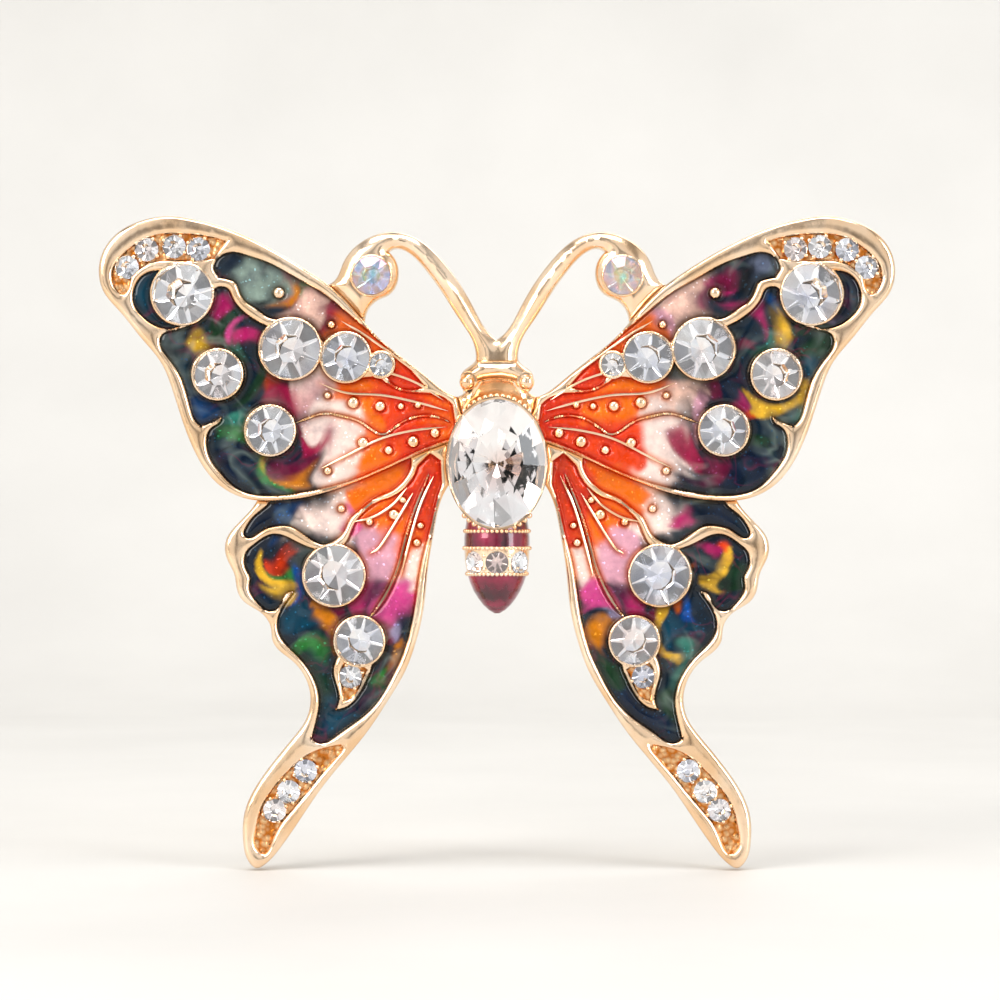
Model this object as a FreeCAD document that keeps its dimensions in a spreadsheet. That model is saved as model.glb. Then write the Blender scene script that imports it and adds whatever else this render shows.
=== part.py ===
import os

import FreeCAD
import Part
import Sketcher

# A butterfly brooch, seen from the front as it is worn: X to the viewer's right, Z up, and the front faces -Y.
# The origin is the middle of the pin stem, so the casting lies in front of it, on the -Y side.
# "Depth" is how far a level lies in front of the pin stem's axis.
# Outlines are drawn for one wing as (distance out from the middle plane, height) and mirrored for the other.

SIZES = {
    # levels in front of the pin stem's axis
    "back_depth": 5.0,
    "fore_front": 7.8,
    "hind_front": 7.1,
    "antenna_back": 5.8,
    "antenna_front": 7.7,
    "collar_front": 9.0,
    "yoke_front": 8.2,
    "cup_front": 9.9,
    "barrel_depth": 7.3,
    # casting
    "cell_drop": 1.2,
    "hind_cell_drop": 0.9,
    "pave_drop": 0.5,
    "bezel_wall": 0.25,
    "bezel_rise": 0.35,
    "bead_rise": 0.1,
    "recess_drop": 0.5,
    "boss_wall": 0.9,
    "boss_margin": 0.5,
    "overlap": 0.1,
    "fine_vein": 0.11,
    "broad_vein": 0.18,
    "enamel_gap": 0.25,
    "abdomen_enamel": 0.35,
    # stones
    "large_stone": 4.75,
    "medium_stone": 3.8,
    "iris_stone": 3.0,
    "small_stone": 1.85,
    "oval_width": 7.8,
    "oval_height": 10.4,
    "oval_centre": 5.2,
    "oval_wall": 0.25,
    "oval_ledge": 0.6,
    "oval_seat_drop": 0.9,
    "oval_well_drop": 3.4,
    "oval_girdle_drop": 0.4,
    "oval_girdle": 0.25,
    "oval_crown": 1.1,
    "oval_pavilion": 2.8,
    "oval_table_inset": 1.5,
    "oval_point_inset": 3.5,
    "table_share": 0.56,
    "crown_share": 0.16,
    "girdle_share": 0.04,
    "pavilion_share": 0.42,
    "culet_radius": 0.03,
    "seat_clear": 0.1,
    "girdle_sunk": 0.25,
    "pave_lift": 0.2,
    # pin finding
    "stem_radius": 0.4,
    "stem_half": 12.3,
    "point_length": 4.7,
    "point_radius": 0.05,
    "root_radius": 0.55,
    "hinge_out": 15.5,
    "eye_radius": 1.05,
    "eye_half": 0.85,
    "rivet_radius": 0.5,
    "running_gap": 0.05,
    "ear_thick": 0.6,
    "ear_radius": 1.2,
    "ear_foot": 1.9,
    "rivet_head": 0.85,
    "rivet_head_thick": 0.3,
    "pad_length": 5.0,
    "pad_height": 4.4,
    "pad_thick": 0.6,
    "catch_out": 13.9,
    "catch_half": 1.2,
    "catch_plate": 0.5,
    "catch_radius": 1.9,
    "web_half": 1.4,
    "hub_radius": 1.15,
    "flange_radius": 1.65,
    "hub_bore": 0.7,
    "mouth_width": 1.2,
    "lever_reach": 3.0,
    "lever_thick": 0.6,
    "cut_past": 0.5,
    "mouth_half": 2.0,
    "mouth_reach": 3.0,
}
BAND_HEIGHT = -13.3
BAND_RADIUS = 2.55
BAND_ANGLE = 47.0
LEVER_ANGLE = -60.0

# Outlines are lists of runs. Each run is a smooth curve, or a straight line if it has one point, from the last
# point of the run before it; the last run ends where the first one starts, so corners fall between runs.
FOREWING = [
    [(3.9, 0.5), (5.5, 1.7), (7.9, 3.6), (9.6, 5.0), (11.4, 7.0), (13.4, 9.1), (15.2, 10.4), (17.8, 12.0),
     (20.3, 13.3), (22.8, 14.3), (25.2, 14.9), (27.1, 15.1), (29.3, 14.7), (31.2, 13.7), (32.4, 12.1),
     (32.7, 10.7), (32.3, 8.9), (30.9, 7.2), (29.3, 5.2), (27.6, 3.1), (26.7, 1.0), (26.0, -1.2), (25.2, -3.4),
     (24.3, -5.2), (22.9, -6.9), (20.9, -8.0), (17.8, -8.25), (14.9, -7.8), (12.1, -6.9), (8.8, -5.5),
     (5.5, -4.0), (3.4, -3.3)],
    [(1.0, -4.0)],
    [(1.0, -1.0)],
    [(3.1, 0.2)],
]
FORE_CHANNEL = [
    [(23.4, 13.3), (26.0, 13.6), (27.9, 13.5), (29.4, 12.9), (30.8, 11.8), (31.5, 10.7), (31.5, 9.7), (30.8, 8.7)],
    [(30.3, 9.2), (30.1, 10.0), (29.5, 10.7), (28.8, 11.2), (27.5, 11.5), (24.7, 11.5), (23.3, 11.7)],
    [(22.4, 13.0)],
]
FORE_CRESCENT = [
    [(28.5, 10.5), (29.2, 10.1), (29.7, 9.3), (29.85, 8.3), (29.6, 7.5), (29.2, 7.0), (28.5, 6.4), (27.6, 6.0),
     (26.7, 5.9), (25.8, 6.3)],
    [(26.5, 8.0), (27.6, 10.6)],
]
FORE_MAIN = [
    [(27.6, 5.1), (27.6, 4.5), (26.9, 3.4), (25.8, 1.6), (25.1, -0.8), (24.8, -1.6), (24.3, -2.1)],
    [(23.4, -1.75), (22.6, -1.3)],
    [(22.8, -1.9), (23.5, -2.4), (23.8, -3.3), (23.5, -4.8), (22.8, -5.8), (22.1, -6.6), (21.2, -7.3), (20.0, -7.7),
     (18.4, -7.8), (15.3, -7.4), (12.1, -6.6), (8.8, -5.2), (5.5, -3.7), (3.3, -3.0)],
    [(3.7, -0.4)],
    [(5.5, 0.5), (7.7, 0.7), (9.0, 1.3), (9.9, 1.8), (10.8, 1.8), (12.1, 1.5), (13.5, 1.7)],
    [(15.5, 4.4), (18.8, 6.0)],
    [(20.0, 6.6), (20.7, 7.1), (21.3, 7.7), (21.8, 8.5), (22.1, 9.1), (22.6, 9.3), (23.2, 9.0)],
    [(25.4, 6.0)],
    [(26.9, 5.6)],
]
FORE_TOP = [
    [(23.0, 11.5), (22.5, 11.9), (21.7, 12.1), (20.7, 11.9), (18.7, 11.2), (16.5, 10.0), (14.4, 8.8), (12.3, 7.1),
     (10.4, 5.5), (7.9, 3.2), (6.0, 1.1)],
    [(7.5, 0.9), (8.2, 1.1), (8.9, 1.8)],
    [(10.2, 3.4), (12.2, 4.6)],
    [(14.1, 4.7), (14.6, 5.3), (15.1, 6.1), (15.8, 6.6), (17.5, 6.7), (18.7, 6.8), (19.7, 7.5), (20.6, 8.1),
     (21.1, 8.9), (21.5, 9.7), (21.9, 9.9), (22.8, 10.1)],
    [(23.2, 10.7)],
]
FORE_VEIN = [(16.6, -1.9), (15.3, -1.4), (14.2, -1.1), (12.8, -1.3), (11.2, -1.8), (9.3, -2.8), (8.2, -2.1),
             (6.8, -1.4), (5.4, -1.3), (3.9, -1.8)]
FORE_BEADS = [(11.8, -0.2, 0.48), (9.6, -0.5, 0.45), (7.9, -0.5, 0.3), (6.5, -0.4, 0.3), (11.0, -3.5, 0.45),
              (8.9, -4.1, 0.37), (6.9, -3.4, 0.48), (5.1, -2.7, 0.4), (13.9, 0.4, 0.3), (13.6, 6.2, 0.33),
              (17.9, 8.8, 0.48), (13.9, -5.8, 0.33)]
FORE_RECESS = [
    [(12.0, 4.6), (17.0, 9.5), (22.5, 12.6), (27.5, 13.5), (30.8, 10.8), (28.3, 5.8), (25.0, 0.5), (23.8, -3.0),
     (21.0, -6.5), (16.0, -6.5), (11.0, -4.8), (7.5, -3.2)],
    [(7.8, 1.4)],
]
HINDWING = [
    [(20.1, -8.8), (21.2, -10.0), (22.3, -11.5), (22.4, -12.2), (22.2, -13.1), (21.6, -14.4), (21.4, -15.6),
     (20.9, -16.5), (19.4, -17.5), (18.6, -18.8), (18.5, -19.7), (18.2, -20.3), (16.9, -21.4), (15.7, -23.0),
     (15.35, -24.6), (15.7, -26.2), (16.9, -27.9), (18.6, -30.0), (20.2, -32.4), (20.8, -34.0), (20.9, -36.3),
     (20.35, -38.1), (19.8, -38.5), (19.1, -38.2), (17.8, -36.8), (16.2, -34.5), (14.5, -32.0), (12.9, -30.0),
     (10.4, -26.9), (8.9, -24.6), (7.6, -22.4), (6.8, -20.3), (6.1, -17.5), (5.7, -13.9), (5.2, -10.8),
     (4.6, -8.2), (3.7, -6.6)],
    [(2.0, -3.2)],
    [(19.0, -4.5)],
    [(19.6, -7.9)],
]
HIND_UPPER = [
    [(18.95, -8.7), (19.8, -9.4), (20.7, -10.6), (20.8, -11.0), (20.5, -11.3), (20.1, -11.2), (19.3, -10.65),
     (18.2, -10.3), (17.1, -10.3), (16.3, -10.7), (15.3, -11.4), (14.3, -11.8), (13.6, -11.6), (12.7, -10.9),
     (12.1, -9.7), (11.2, -8.9), (10.2, -8.1), (8.7, -7.4), (7.6, -6.4), (7.1, -5.4)],
    [(7.1, -3.0)],
    [(19.0, -7.0)],
]
HIND_LOWER = [
    [(20.7, -12.8), (20.65, -13.8), (20.3, -14.6), (20.35, -15.4), (19.9, -16.4), (19.1, -17.2)],
    [(18.5, -17.3), (17.9, -16.9), (17.6, -16.2), (16.7, -15.7)],
    [(17.4, -16.7), (18.0, -18.0), (18.0, -18.9), (17.7, -19.6), (16.4, -21.0), (15.2, -22.6), (14.6, -24.6),
     (14.8, -26.2), (15.2, -27.8)],
    [(14.6, -28.2), (13.0, -27.4), (11.3, -26.2), (9.8, -24.7), (8.7, -22.8), (7.8, -20.9), (7.1, -18.5),
     (6.6, -15.5), (6.2, -13.1), (5.7, -11.1), (5.2, -8.9), (4.6, -6.9)],
    [(4.7, -5.0)],
    [(5.5, -4.4)],
    [(6.5, -5.4)],
    [(7.1, -6.7), (8.0, -7.6), (8.7, -8.0), (9.6, -8.3), (10.9, -9.2), (11.7, -10.2), (12.4, -11.7), (13.0, -12.2)],
    [(13.7, -13.0)],
    [(14.6, -12.4)],
    [(15.3, -12.2), (16.3, -11.8), (17.5, -11.2), (18.4, -11.05), (19.3, -11.4), (20.1, -12.0)],
]
HIND_VEIN = [(10.6, -18.0), (9.8, -17.0), (8.7, -15.1), (7.9, -12.9), (7.5, -11.2), (6.9, -9.3), (6.2, -7.5),
             (5.6, -6.0)]
HIND_DROP = [
    [(13.0, -20.8), (13.5, -22.4), (13.1, -24.0), (13.35, -25.5)],
    [(12.1, -25.1), (10.9, -23.5), (10.1, -21.4), (9.8, -20.0)],
    [(11.3, -19.0)],
]
DROP_CHANNEL = [
    [(12.85, -22.6), (12.6, -24.2), (12.6, -24.7)],
    [(11.9, -24.3), (11.2, -23.2), (10.8, -22.2)],
    [(11.8, -21.2)],
]
HIND_CHANNEL = [
    [(13.9, -28.6), (15.5, -29.2), (16.9, -30.3), (18.4, -32.0), (19.4, -33.7), (19.8, -35.3), (19.75, -36.9),
     (19.3, -37.3), (18.4, -35.9), (17.1, -33.9), (15.5, -32.0), (14.1, -30.3), (12.8, -28.4)],
]
HIND_BEADS = [(12.8, -8.9, 0.33), (10.5, -10.0, 0.33), (8.5, -9.4, 0.45), (7.75, -8.2, 0.3), (6.3, -10.3, 0.3),
              (6.6, -11.7, 0.33)]
HIND_RECESS = [
    [(14.0, -10.3), (19.0, -10.2), (20.9, -12.4), (20.0, -15.5), (17.2, -18.4), (16.8, -20.0), (14.6, -22.4),
     (13.9, -25.5), (12.5, -26.4), (9.5, -23.0), (8.2, -19.0), (7.3, -14.0)],
    [(7.4, -9.6)],
]
ANTENNA = [
    [(1.75, 3.9), (2.1, 5.1), (3.0, 6.5), (4.6, 9.0), (6.0, 10.9), (7.2, 12.1), (8.2, 12.5), (8.9, 12.2)],
    [(8.2, 11.2), (8.1, 10.2), (8.5, 9.1), (9.3, 8.5)],
    [(10.3, 7.9), (10.9, 6.2)],
    [(14.4, 9.4)],
    [(13.1, 10.2), (12.7, 11.2), (11.2, 13.0), (9.2, 13.8), (8.0, 13.8), (6.2, 13.1), (4.5, 11.5), (3.0, 9.5),
     (1.7, 7.2), (0.8, 5.7), (0.0, 5.0)],
    [(0.0, 3.3)],
    [(1.75, 3.3)],
]
COLLAR = [
    [(2.35, 2.7), (2.9, 2.2), (3.0, 1.6), (2.9, 1.0), (2.5, 0.7)],
    [(1.6, 1.4), (0.0, 1.7), (-1.6, 1.4), (-2.5, 0.7)],
    [(-2.9, 1.0), (-3.0, 1.6), (-2.9, 2.2), (-2.35, 2.7), (-1.75, 3.3)],
    [(0.0, 3.3)],
    [(1.75, 3.3)],
]
YOKE = [
    [(2.6, 0.7), (3.3, 0.3)],
    [(3.0, -0.9), (2.5, -2.0)],
    [(-2.5, -2.0)],
    [(-3.0, -0.9), (-3.3, 0.3)],
    [(-2.6, 0.7), (-2.4, 1.3)],
    [(-1.6, 2.3)],
    [(1.6, 2.3)],
    [(2.4, 1.3)],
]
# radius and height down the abdomen; the gold stone band lies between the two enamelled stretches
BARREL = [(2.3, -8.8), (2.48, -9.6), (2.62, -10.5), (2.7, -11.3), (2.7, -12.0), (2.62, -13.3), (2.45, -14.3),
          (2.22, -15.0), (1.92, -15.7), (1.55, -16.3), (1.12, -16.85), (0.68, -17.25), (0.25, -17.5)]
BAND_TOP = -12.0
BAND_BOTTOM = -14.3
# under the enamel the core stops where the barrel gets narrower than this, and comes to a blunt tip
CORE_NARROWEST = 1.05
CORE_TIP = (0.1, -17.1)
# what cuts the barrel flat at the back
BARREL_BACK = [[(-4.0, -19.0)], [(4.0, -19.0)], [(4.0, -8.0)], [(-4.0, -8.0)]]
BARREL_BACK_DROP = 5.0

# Round stones: node name, place and the sheet's width for it.
FORE_STONES = {
    "tip": (25.8, 8.7, "large_stone"),
    "outer": (22.9, 2.1, "medium_stone"),
    "inner": (16.95, 4.2, "large_stone"),
    "root": (12.4, 3.5, "medium_stone"),
    "lower": (18.6, -2.5, "medium_stone"),
}
FORE_SMALL = (9.5, 2.9)
FORE_PAVE = [(30.35, 10.9), (28.75, 12.35), (26.5, 12.6), (24.5, 12.4)]
HIND_STONES = {"upper": (13.4, -14.4, "large_stone"), "middle": (11.3, -19.8, "medium_stone")}
HIND_SMALL = (12.05, -22.75)
HIND_PAVE = [(15.75, -30.5), (17.15, -32.2), (18.3, -33.75)]
IRIS_STONE = (10.3, 10.2)

FRONT_TURN = FreeCAD.Rotation(FreeCAD.Vector(1, 0, 0), 90)
LEFT, RIGHT = -1, 1
SIDES = {"left": LEFT, "right": RIGHT}
CLEAR_OF_ALL = 14.0

doc = FreeCAD.newDocument("brooch")
sheet = doc.addObject("Spreadsheet::Sheet", "sizes")
for row, (alias, value) in enumerate(SIZES.items(), start=1):
    sheet.set(f"A{row}", alias)
    sheet.set(f"B{row}", str(value))
    sheet.setAlias(f"B{row}", alias)
doc.recompute()

nodes = []


def node(item, label):
    """Names an object as one of the brooch's sub-parts."""
    item.Label = label
    nodes.append(item)
    return item


def bind(item, prop, words):
    """Binds a property to an expression in which the sheet's aliases stand alone."""
    text = " ".join(f"sizes.{w}" if w in SIZES else w for w in words.split())
    item.setExpression(prop, text)


def sketch_at(body, name, depth, role="XZ_Plane"):
    """A sketch on one of the body's own origin planes, moved along its normal by depth, an expression."""
    sketch = body.newObject("Sketcher::SketchObject", name)
    plane = [f for f in body.Origin.OriginFeatures if f.Role == role][0]
    sketch.AttachmentSupport = [(plane, "")]
    sketch.MapMode = "FlatFace"
    bind(sketch, "AttachmentOffset.Base.z", depth)
    return sketch


def draw(sketch, runs, side):
    """Draws a closed outline of runs, mirrored to its side, and ties each run to the next."""
    start = runs[-1][-1]
    first = sketch.GeometryCount
    for run in runs:
        points = [FreeCAD.Vector(side * out, up, 0) for out, up in [start] + run]
        if len(points) == 2:
            edge = Part.LineSegment(*points)
        else:
            edge = Part.BSplineCurve()
            closed = len(runs) == 1
            edge.interpolate(Points=points[1:] if closed else points, PeriodicFlag=closed)
        sketch.addGeometry(edge)
        start = run[-1]
    if len(runs) > 1:
        last = sketch.GeometryCount - 1
        for i in range(first, last + 1):
            sketch.addConstraint(Sketcher.Constraint("Coincident", i, 2, first if i == last else i + 1, 1))


def draw_circle(sketch, place, radius, side=RIGHT):
    """Draws a circle whose radius is bound to an expression, or plain if it is a number."""
    is_number = not isinstance(radius, str)
    centre = FreeCAD.Vector(side * place[0], place[1], 0)
    i = sketch.addGeometry(Part.Circle(centre, FreeCAD.Vector(0, 0, 1), radius if is_number else 1.0))
    if not is_number:
        k = sketch.addConstraint(Sketcher.Constraint("Radius", i, 1.0))
        bind(sketch, f"Constraints[{k}]", radius)


def draw_oval(sketch, grown_by):
    """Draws the centre stone's oval, grown by an amount all round."""
    half_width = SIZES["oval_width"] / 2 + grown_by
    half_height = SIZES["oval_height"] / 2 + grown_by
    centre = FreeCAD.Vector(0, -SIZES["oval_centre"], 0)
    top = centre + FreeCAD.Vector(0, half_height, 0)
    beside = centre + FreeCAD.Vector(half_width, 0, 0)
    sketch.addGeometry(Part.Ellipse(top, beside, centre))


def ribbon(points, half_width):
    """The outline of a rib of even width that follows a line of points and ends in points."""
    left, right = [], []
    for before, here, after in zip(points, points[1:], points[2:]):
        along = FreeCAD.Vector(after[0] - before[0], after[1] - before[1], 0).normalize()
        left.append((here[0] - along.y * half_width, here[1] + along.x * half_width))
        right.append((here[0] + along.y * half_width, here[1] - along.x * half_width))
    return [left + [points[-1]], right[::-1] + [points[0]]]


def pad(body, sketch, length):
    feature = body.newObject("PartDesign::Pad", sketch.Name + "_pad")
    feature.Profile = sketch
    bind(feature, "Length", length)
    sketch.Visibility = False
    return feature


def pocket(body, sketch, length):
    """Cuts from the sketch's level towards the back."""
    feature = body.newObject("PartDesign::Pocket", sketch.Name + "_pocket")
    feature.Profile = sketch
    bind(feature, "Length", length)
    return feature


def pad_outline(body, name, runs, side, low, high):
    sketch = sketch_at(body, name, low)
    draw(sketch, runs, side)
    return pad(body, sketch, f"{high} - ( {low} )")


def cut_outline(body, name, runs, side, high, drop):
    sketch = sketch_at(body, name, high)
    draw(sketch, runs, side)
    return pocket(body, sketch, drop)


def trim(body, name, side, *outlines):
    """Cuts whole outlines away, so that a neighbour with the same outline meets this piece face to face."""
    for i, runs in enumerate(outlines):
        cut_outline(body, f"{name}_trim{i}", runs, side, str(CLEAR_OF_ALL), str(CLEAR_OF_ALL))


def trim_oval(body, name):
    sketch = sketch_at(body, name + "_oval_trim", str(CLEAR_OF_ALL))
    draw_oval(sketch, SIZES["oval_wall"])
    pocket(body, sketch, str(CLEAR_OF_ALL))


def bezels(body, name, stones, side, floor, top):
    """Solid round cups, one for each stone, before their seats are sunk."""
    for key, (out, up, width) in stones.items():
        sketch = sketch_at(body, f"{name}_{key}_bezel", floor)
        draw_circle(sketch, (out, up), f"{width} / 2 + bezel_wall", side)
        pad(body, sketch, f"{top} - ( {floor} )")


def beads(body, name, places, side, floor, top):
    sketch = sketch_at(body, name, floor)
    for out, up, radius in places:
        draw_circle(sketch, (out, up), radius, side)
    pad(body, sketch, f"{top} - ( {floor} )")


def bosses(body, name, stones, side, finding):
    """Solid ground at the back behind each seat and under the pin finding's pad."""
    for key, (out, up, width) in stones.items():
        sketch = sketch_at(body, f"{name}_{key}_boss", "back_depth")
        draw_circle(sketch, (out, up), f"{width} / 2 + boss_wall", side)
        pad(body, sketch, "recess_drop + overlap")
    if finding:
        half_x = SIZES["pad_length"] / 2 + SIZES["boss_margin"]
        half_z = SIZES["pad_height"] / 2 + SIZES["boss_margin"]
        x = SIZES[finding]
        sketch = sketch_at(body, f"{name}_finding_boss", "back_depth")
        corners = [(x - half_x, -half_z), (x + half_x, -half_z), (x + half_x, half_z), (x - half_x, half_z)]
        draw(sketch, [[c] for c in corners], side)
        pad(body, sketch, "recess_drop + overlap")


def cylinder(name, radius, length, place=(0, 0, 0), turn=None):
    item = doc.addObject("Part::Cylinder", name)
    bind(item, "Radius", radius)
    bind(item, "Height", length)
    item.Placement = FreeCAD.Placement(FreeCAD.Vector(*place), turn or FreeCAD.Rotation())
    return item


def fuse(name, *items):
    whole = doc.addObject("Part::MultiFuse", name)
    whole.Shapes = list(items)
    return whole


def cut(name, base, tool):
    rest = doc.addObject("Part::Cut", name)
    rest.Base = base
    rest.Tool = tool
    return rest


def chaton(name, width, place, turn=FRONT_TURN):
    """A round stone with a flat table, crown, girdle and pointed back. Its place is the middle of its girdle."""
    crown = doc.addObject("Part::Cone", name + "_crown")
    bind(crown, "Radius1", f"{width} / 2")
    bind(crown, "Radius2", f"{width} / 2 * table_share")
    bind(crown, "Height", f"{width} * crown_share")
    bind(crown, "Placement.Base.z", f"{width} * girdle_share / 2")
    girdle = cylinder(name + "_girdle", f"{width} / 2", f"{width} * girdle_share")
    bind(girdle, "Placement.Base.z", f"-1 * {width} * girdle_share / 2")
    pavilion = doc.addObject("Part::Cone", name + "_pavilion")
    bind(pavilion, "Radius1", "culet_radius")
    bind(pavilion, "Radius2", f"{width} / 2")
    bind(pavilion, "Height", f"{width} * pavilion_share")
    bind(pavilion, "Placement.Base.z", f"-1 * {width} * ( girdle_share / 2 + pavilion_share )")
    stone = fuse(name, crown, girdle, pavilion)
    stone.Placement = FreeCAD.Placement(place, turn)
    return stone


def seat(name, width, place, turn=FRONT_TURN):
    """A stone's round well in the casting, open above the girdle and just deeper than the stone's point."""
    depth = f"{width} * ( girdle_share / 2 + pavilion_share ) + seat_clear"
    well = cylinder(name, f"{width} / 2", f"{depth} + {width} * crown_share")
    bottom = SIZES[width] * (SIZES["girdle_share"] / 2 + SIZES["pavilion_share"]) + SIZES["seat_clear"]
    away = turn.multVec(FreeCAD.Vector(0, 0, -bottom))
    well.Placement = FreeCAD.Placement(place + away, turn)
    return well


def in_front(out, up, depth, side=RIGHT):
    return FreeCAD.Vector(side * out, -depth, up)


def set_stones(casting, name, places, side, level, group=None):
    """Stones in their seats. Gives the wells to sink, and makes one node for each stone, or one for a group."""
    wells, made = [], []
    for key, (out, up, width) in places.items():
        place = in_front(out, up, level, side)
        wells.append(seat(f"{name}_{key}_well", width, place))
        stone = chaton(f"{name}_{key}_stone", width, place)
        made.append(stone)
        if group is None:
            node(stone, f"{casting}_{key}_crystal_{name.split('_')[-1]}")
    if group:
        node(fuse(name + "_" + group, *made), f"{casting}_{group}_{name.split('_')[-1]}")
    return wells


def numbered(places):
    return {str(i): (out, up, "small_stone") for i, (out, up) in enumerate(places, start=1)}


def forewing(word, side, finding):
    name = f"fore_{word}"
    small = {"small": (*FORE_SMALL, "small_stone")}
    floor = "fore_front - cell_drop"
    bezel_top = "( fore_front + bezel_rise )"
    blank = doc.addObject("PartDesign::Body", name + "_blank")
    pad_outline(blank, name + "_outline", FOREWING, side, "back_depth", "fore_front")
    trim(blank, name, side, COLLAR, YOKE)
    trim_oval(blank, name)
    for key, runs in (("crescent", FORE_CRESCENT), ("main", FORE_MAIN), ("top", FORE_TOP)):
        cut_outline(blank, f"{name}_{key}_cell", runs, side, "fore_front", "cell_drop")
    cut_outline(blank, name + "_channel", FORE_CHANNEL, side, "fore_front", "pave_drop")
    cut_outline(blank, name + "_recess", FORE_RECESS, side, "back_depth + recess_drop", "recess_drop")
    bosses(blank, name, FORE_STONES, side, finding)
    bezels(blank, name, FORE_STONES | small, side, floor, bezel_top)
    pad_outline(blank, name + "_vein", ribbon(FORE_VEIN, SIZES["fine_vein"]), side, floor, "fore_front")
    beads(blank, name + "_beads", FORE_BEADS, side, floor, "( fore_front + bead_rise )")

    cells = doc.addObject("PartDesign::Body", name + "_cells")
    for key, runs in (("crescent", FORE_CRESCENT), ("main", FORE_MAIN), ("top", FORE_TOP)):
        pad_outline(cells, f"{name}_{key}_fill", runs, side, floor, "( fore_front - enamel_gap )")
    trim(cells, name + "_cells", side, YOKE)
    trim_oval(cells, name + "_cells")
    node(cut(name + "_enamel", cells, blank), f"forewing_enamel_{word}")

    level = SIZES["fore_front"] + SIZES["bezel_rise"] - SIZES["girdle_sunk"]
    wells = set_stones("forewing", name, FORE_STONES | small, side, level)
    pave_level = SIZES["fore_front"] - SIZES["pave_drop"] + SIZES["pave_lift"]
    wells += set_stones("forewing", name, numbered(FORE_PAVE), side, pave_level, group="pave_crystals")
    node(cut(name + "_casting", blank, fuse(name + "_wells", *wells)), f"forewing_frame_{word}")


def hindwing(word, side):
    name = f"hind_{word}"
    small = {"drop": (*HIND_SMALL, "small_stone")}
    floor = "hind_front - hind_cell_drop"
    bezel_top = "( hind_front + bezel_rise )"
    blank = doc.addObject("PartDesign::Body", name + "_blank")
    pad_outline(blank, name + "_outline", HINDWING, side, "back_depth", "hind_front")
    trim(blank, name, side, FOREWING)
    trim_oval(blank, name)
    for key, runs in (("upper", HIND_UPPER), ("lower", HIND_LOWER)):
        cut_outline(blank, f"{name}_{key}_cell", runs, side, "hind_front", "hind_cell_drop")
    cut_outline(blank, name + "_channel", HIND_CHANNEL, side, "hind_front", "pave_drop")
    cut_outline(blank, name + "_recess", HIND_RECESS, side, "back_depth + recess_drop", "recess_drop")
    bosses(blank, name, HIND_STONES, side, None)
    pad_outline(blank, name + "_drop", HIND_DROP, side, floor, "hind_front")
    bezels(blank, name, HIND_STONES, side, floor, bezel_top)
    pad_outline(blank, name + "_vein", ribbon(HIND_VEIN, SIZES["broad_vein"]), side, floor, "hind_front")
    beads(blank, name + "_beads", HIND_BEADS, side, floor, "( hind_front + bead_rise )")

    cells = doc.addObject("PartDesign::Body", name + "_cells")
    for key, runs in (("upper", HIND_UPPER), ("lower", HIND_LOWER)):
        pad_outline(cells, f"{name}_{key}_fill", runs, side, floor, "( hind_front - enamel_gap )")
    trim(cells, name + "_cells", side, FOREWING, HIND_DROP)
    trim_oval(cells, name + "_cells")
    node(cut(name + "_enamel", cells, blank), f"hindwing_enamel_{word}")

    cut_outline(blank, name + "_drop_channel", DROP_CHANNEL, side, "hind_front", "pave_drop")
    level = SIZES["hind_front"] + SIZES["bezel_rise"] - SIZES["girdle_sunk"]
    wells = set_stones("hindwing", name, HIND_STONES, side, level)
    pave_level = SIZES["hind_front"] - SIZES["pave_drop"] + SIZES["pave_lift"]
    wells += set_stones("hindwing", name, small, side, pave_level)
    wells += set_stones("hindwing", name, numbered(HIND_PAVE), side, pave_level, group="tail_crystals")
    node(cut(name + "_casting", blank, fuse(name + "_wells", *wells)), f"hindwing_frame_{word}")


def antenna(word, side):
    name = f"antenna_{word}"
    blank = doc.addObject("PartDesign::Body", name + "_blank")
    pad_outline(blank, name + "_outline", ANTENNA, side, "antenna_back", "antenna_front")
    trim(blank, name, side, FOREWING)
    stones = {"iris": (*IRIS_STONE, "iris_stone")}
    bezels(blank, name, stones, side, "antenna_back", "( antenna_front + bezel_rise )")
    level = SIZES["antenna_front"] + SIZES["bezel_rise"] - SIZES["girdle_sunk"]
    wells = set_stones("antenna", name, stones, side, level)
    node(cut(name + "_casting", blank, wells[0]), f"antenna_{word}")


def head():
    body = node(doc.addObject("PartDesign::Body", "head"), "head_collar")
    pad_outline(body, "yoke", YOKE, RIGHT, "back_depth", "yoke_front")
    pad_outline(body, "collar", COLLAR, RIGHT, "back_depth", "collar_front")
    trim_oval(body, "head")


def thorax():
    cup = node(doc.addObject("PartDesign::Body", "cup"), "thorax_cup")
    outside = sketch_at(cup, "cup_outside", "back_depth")
    draw_oval(outside, SIZES["oval_wall"])
    pad(cup, outside, "cup_front - back_depth")
    mouth = sketch_at(cup, "cup_mouth", "cup_front")
    draw_oval(mouth, 0)
    pocket(cup, mouth, "oval_seat_drop")
    well = sketch_at(cup, "cup_well", "cup_front")
    draw_oval(well, -SIZES["oval_ledge"])
    pocket(cup, well, "oval_well_drop")

    stone = node(doc.addObject("PartDesign::Body", "oval"), "centre_crystal")
    bottom = "cup_front - oval_girdle_drop"
    top = f"{bottom} + oval_girdle"
    girdle = sketch_at(stone, "oval_girdle", bottom)
    draw_oval(girdle, 0)
    pad(stone, girdle, "oval_girdle")
    for word, near, far, inset in (
        ("crown", top, f"{top} + oval_crown", "oval_table_inset"),
        ("pavilion", bottom, f"{bottom} - oval_pavilion", "oval_point_inset"),
    ):
        sections = [sketch_at(stone, f"{word}_{i}", depth) for i, depth in enumerate((near, far))]
        draw_oval(sections[0], 0)
        draw_oval(sections[1], -SIZES[inset])
        loft = stone.newObject("PartDesign::AdditiveLoft", word)
        loft.Profile = sections[0]
        loft.Sections = [sections[1]]
        loft.Ruled = True


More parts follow.
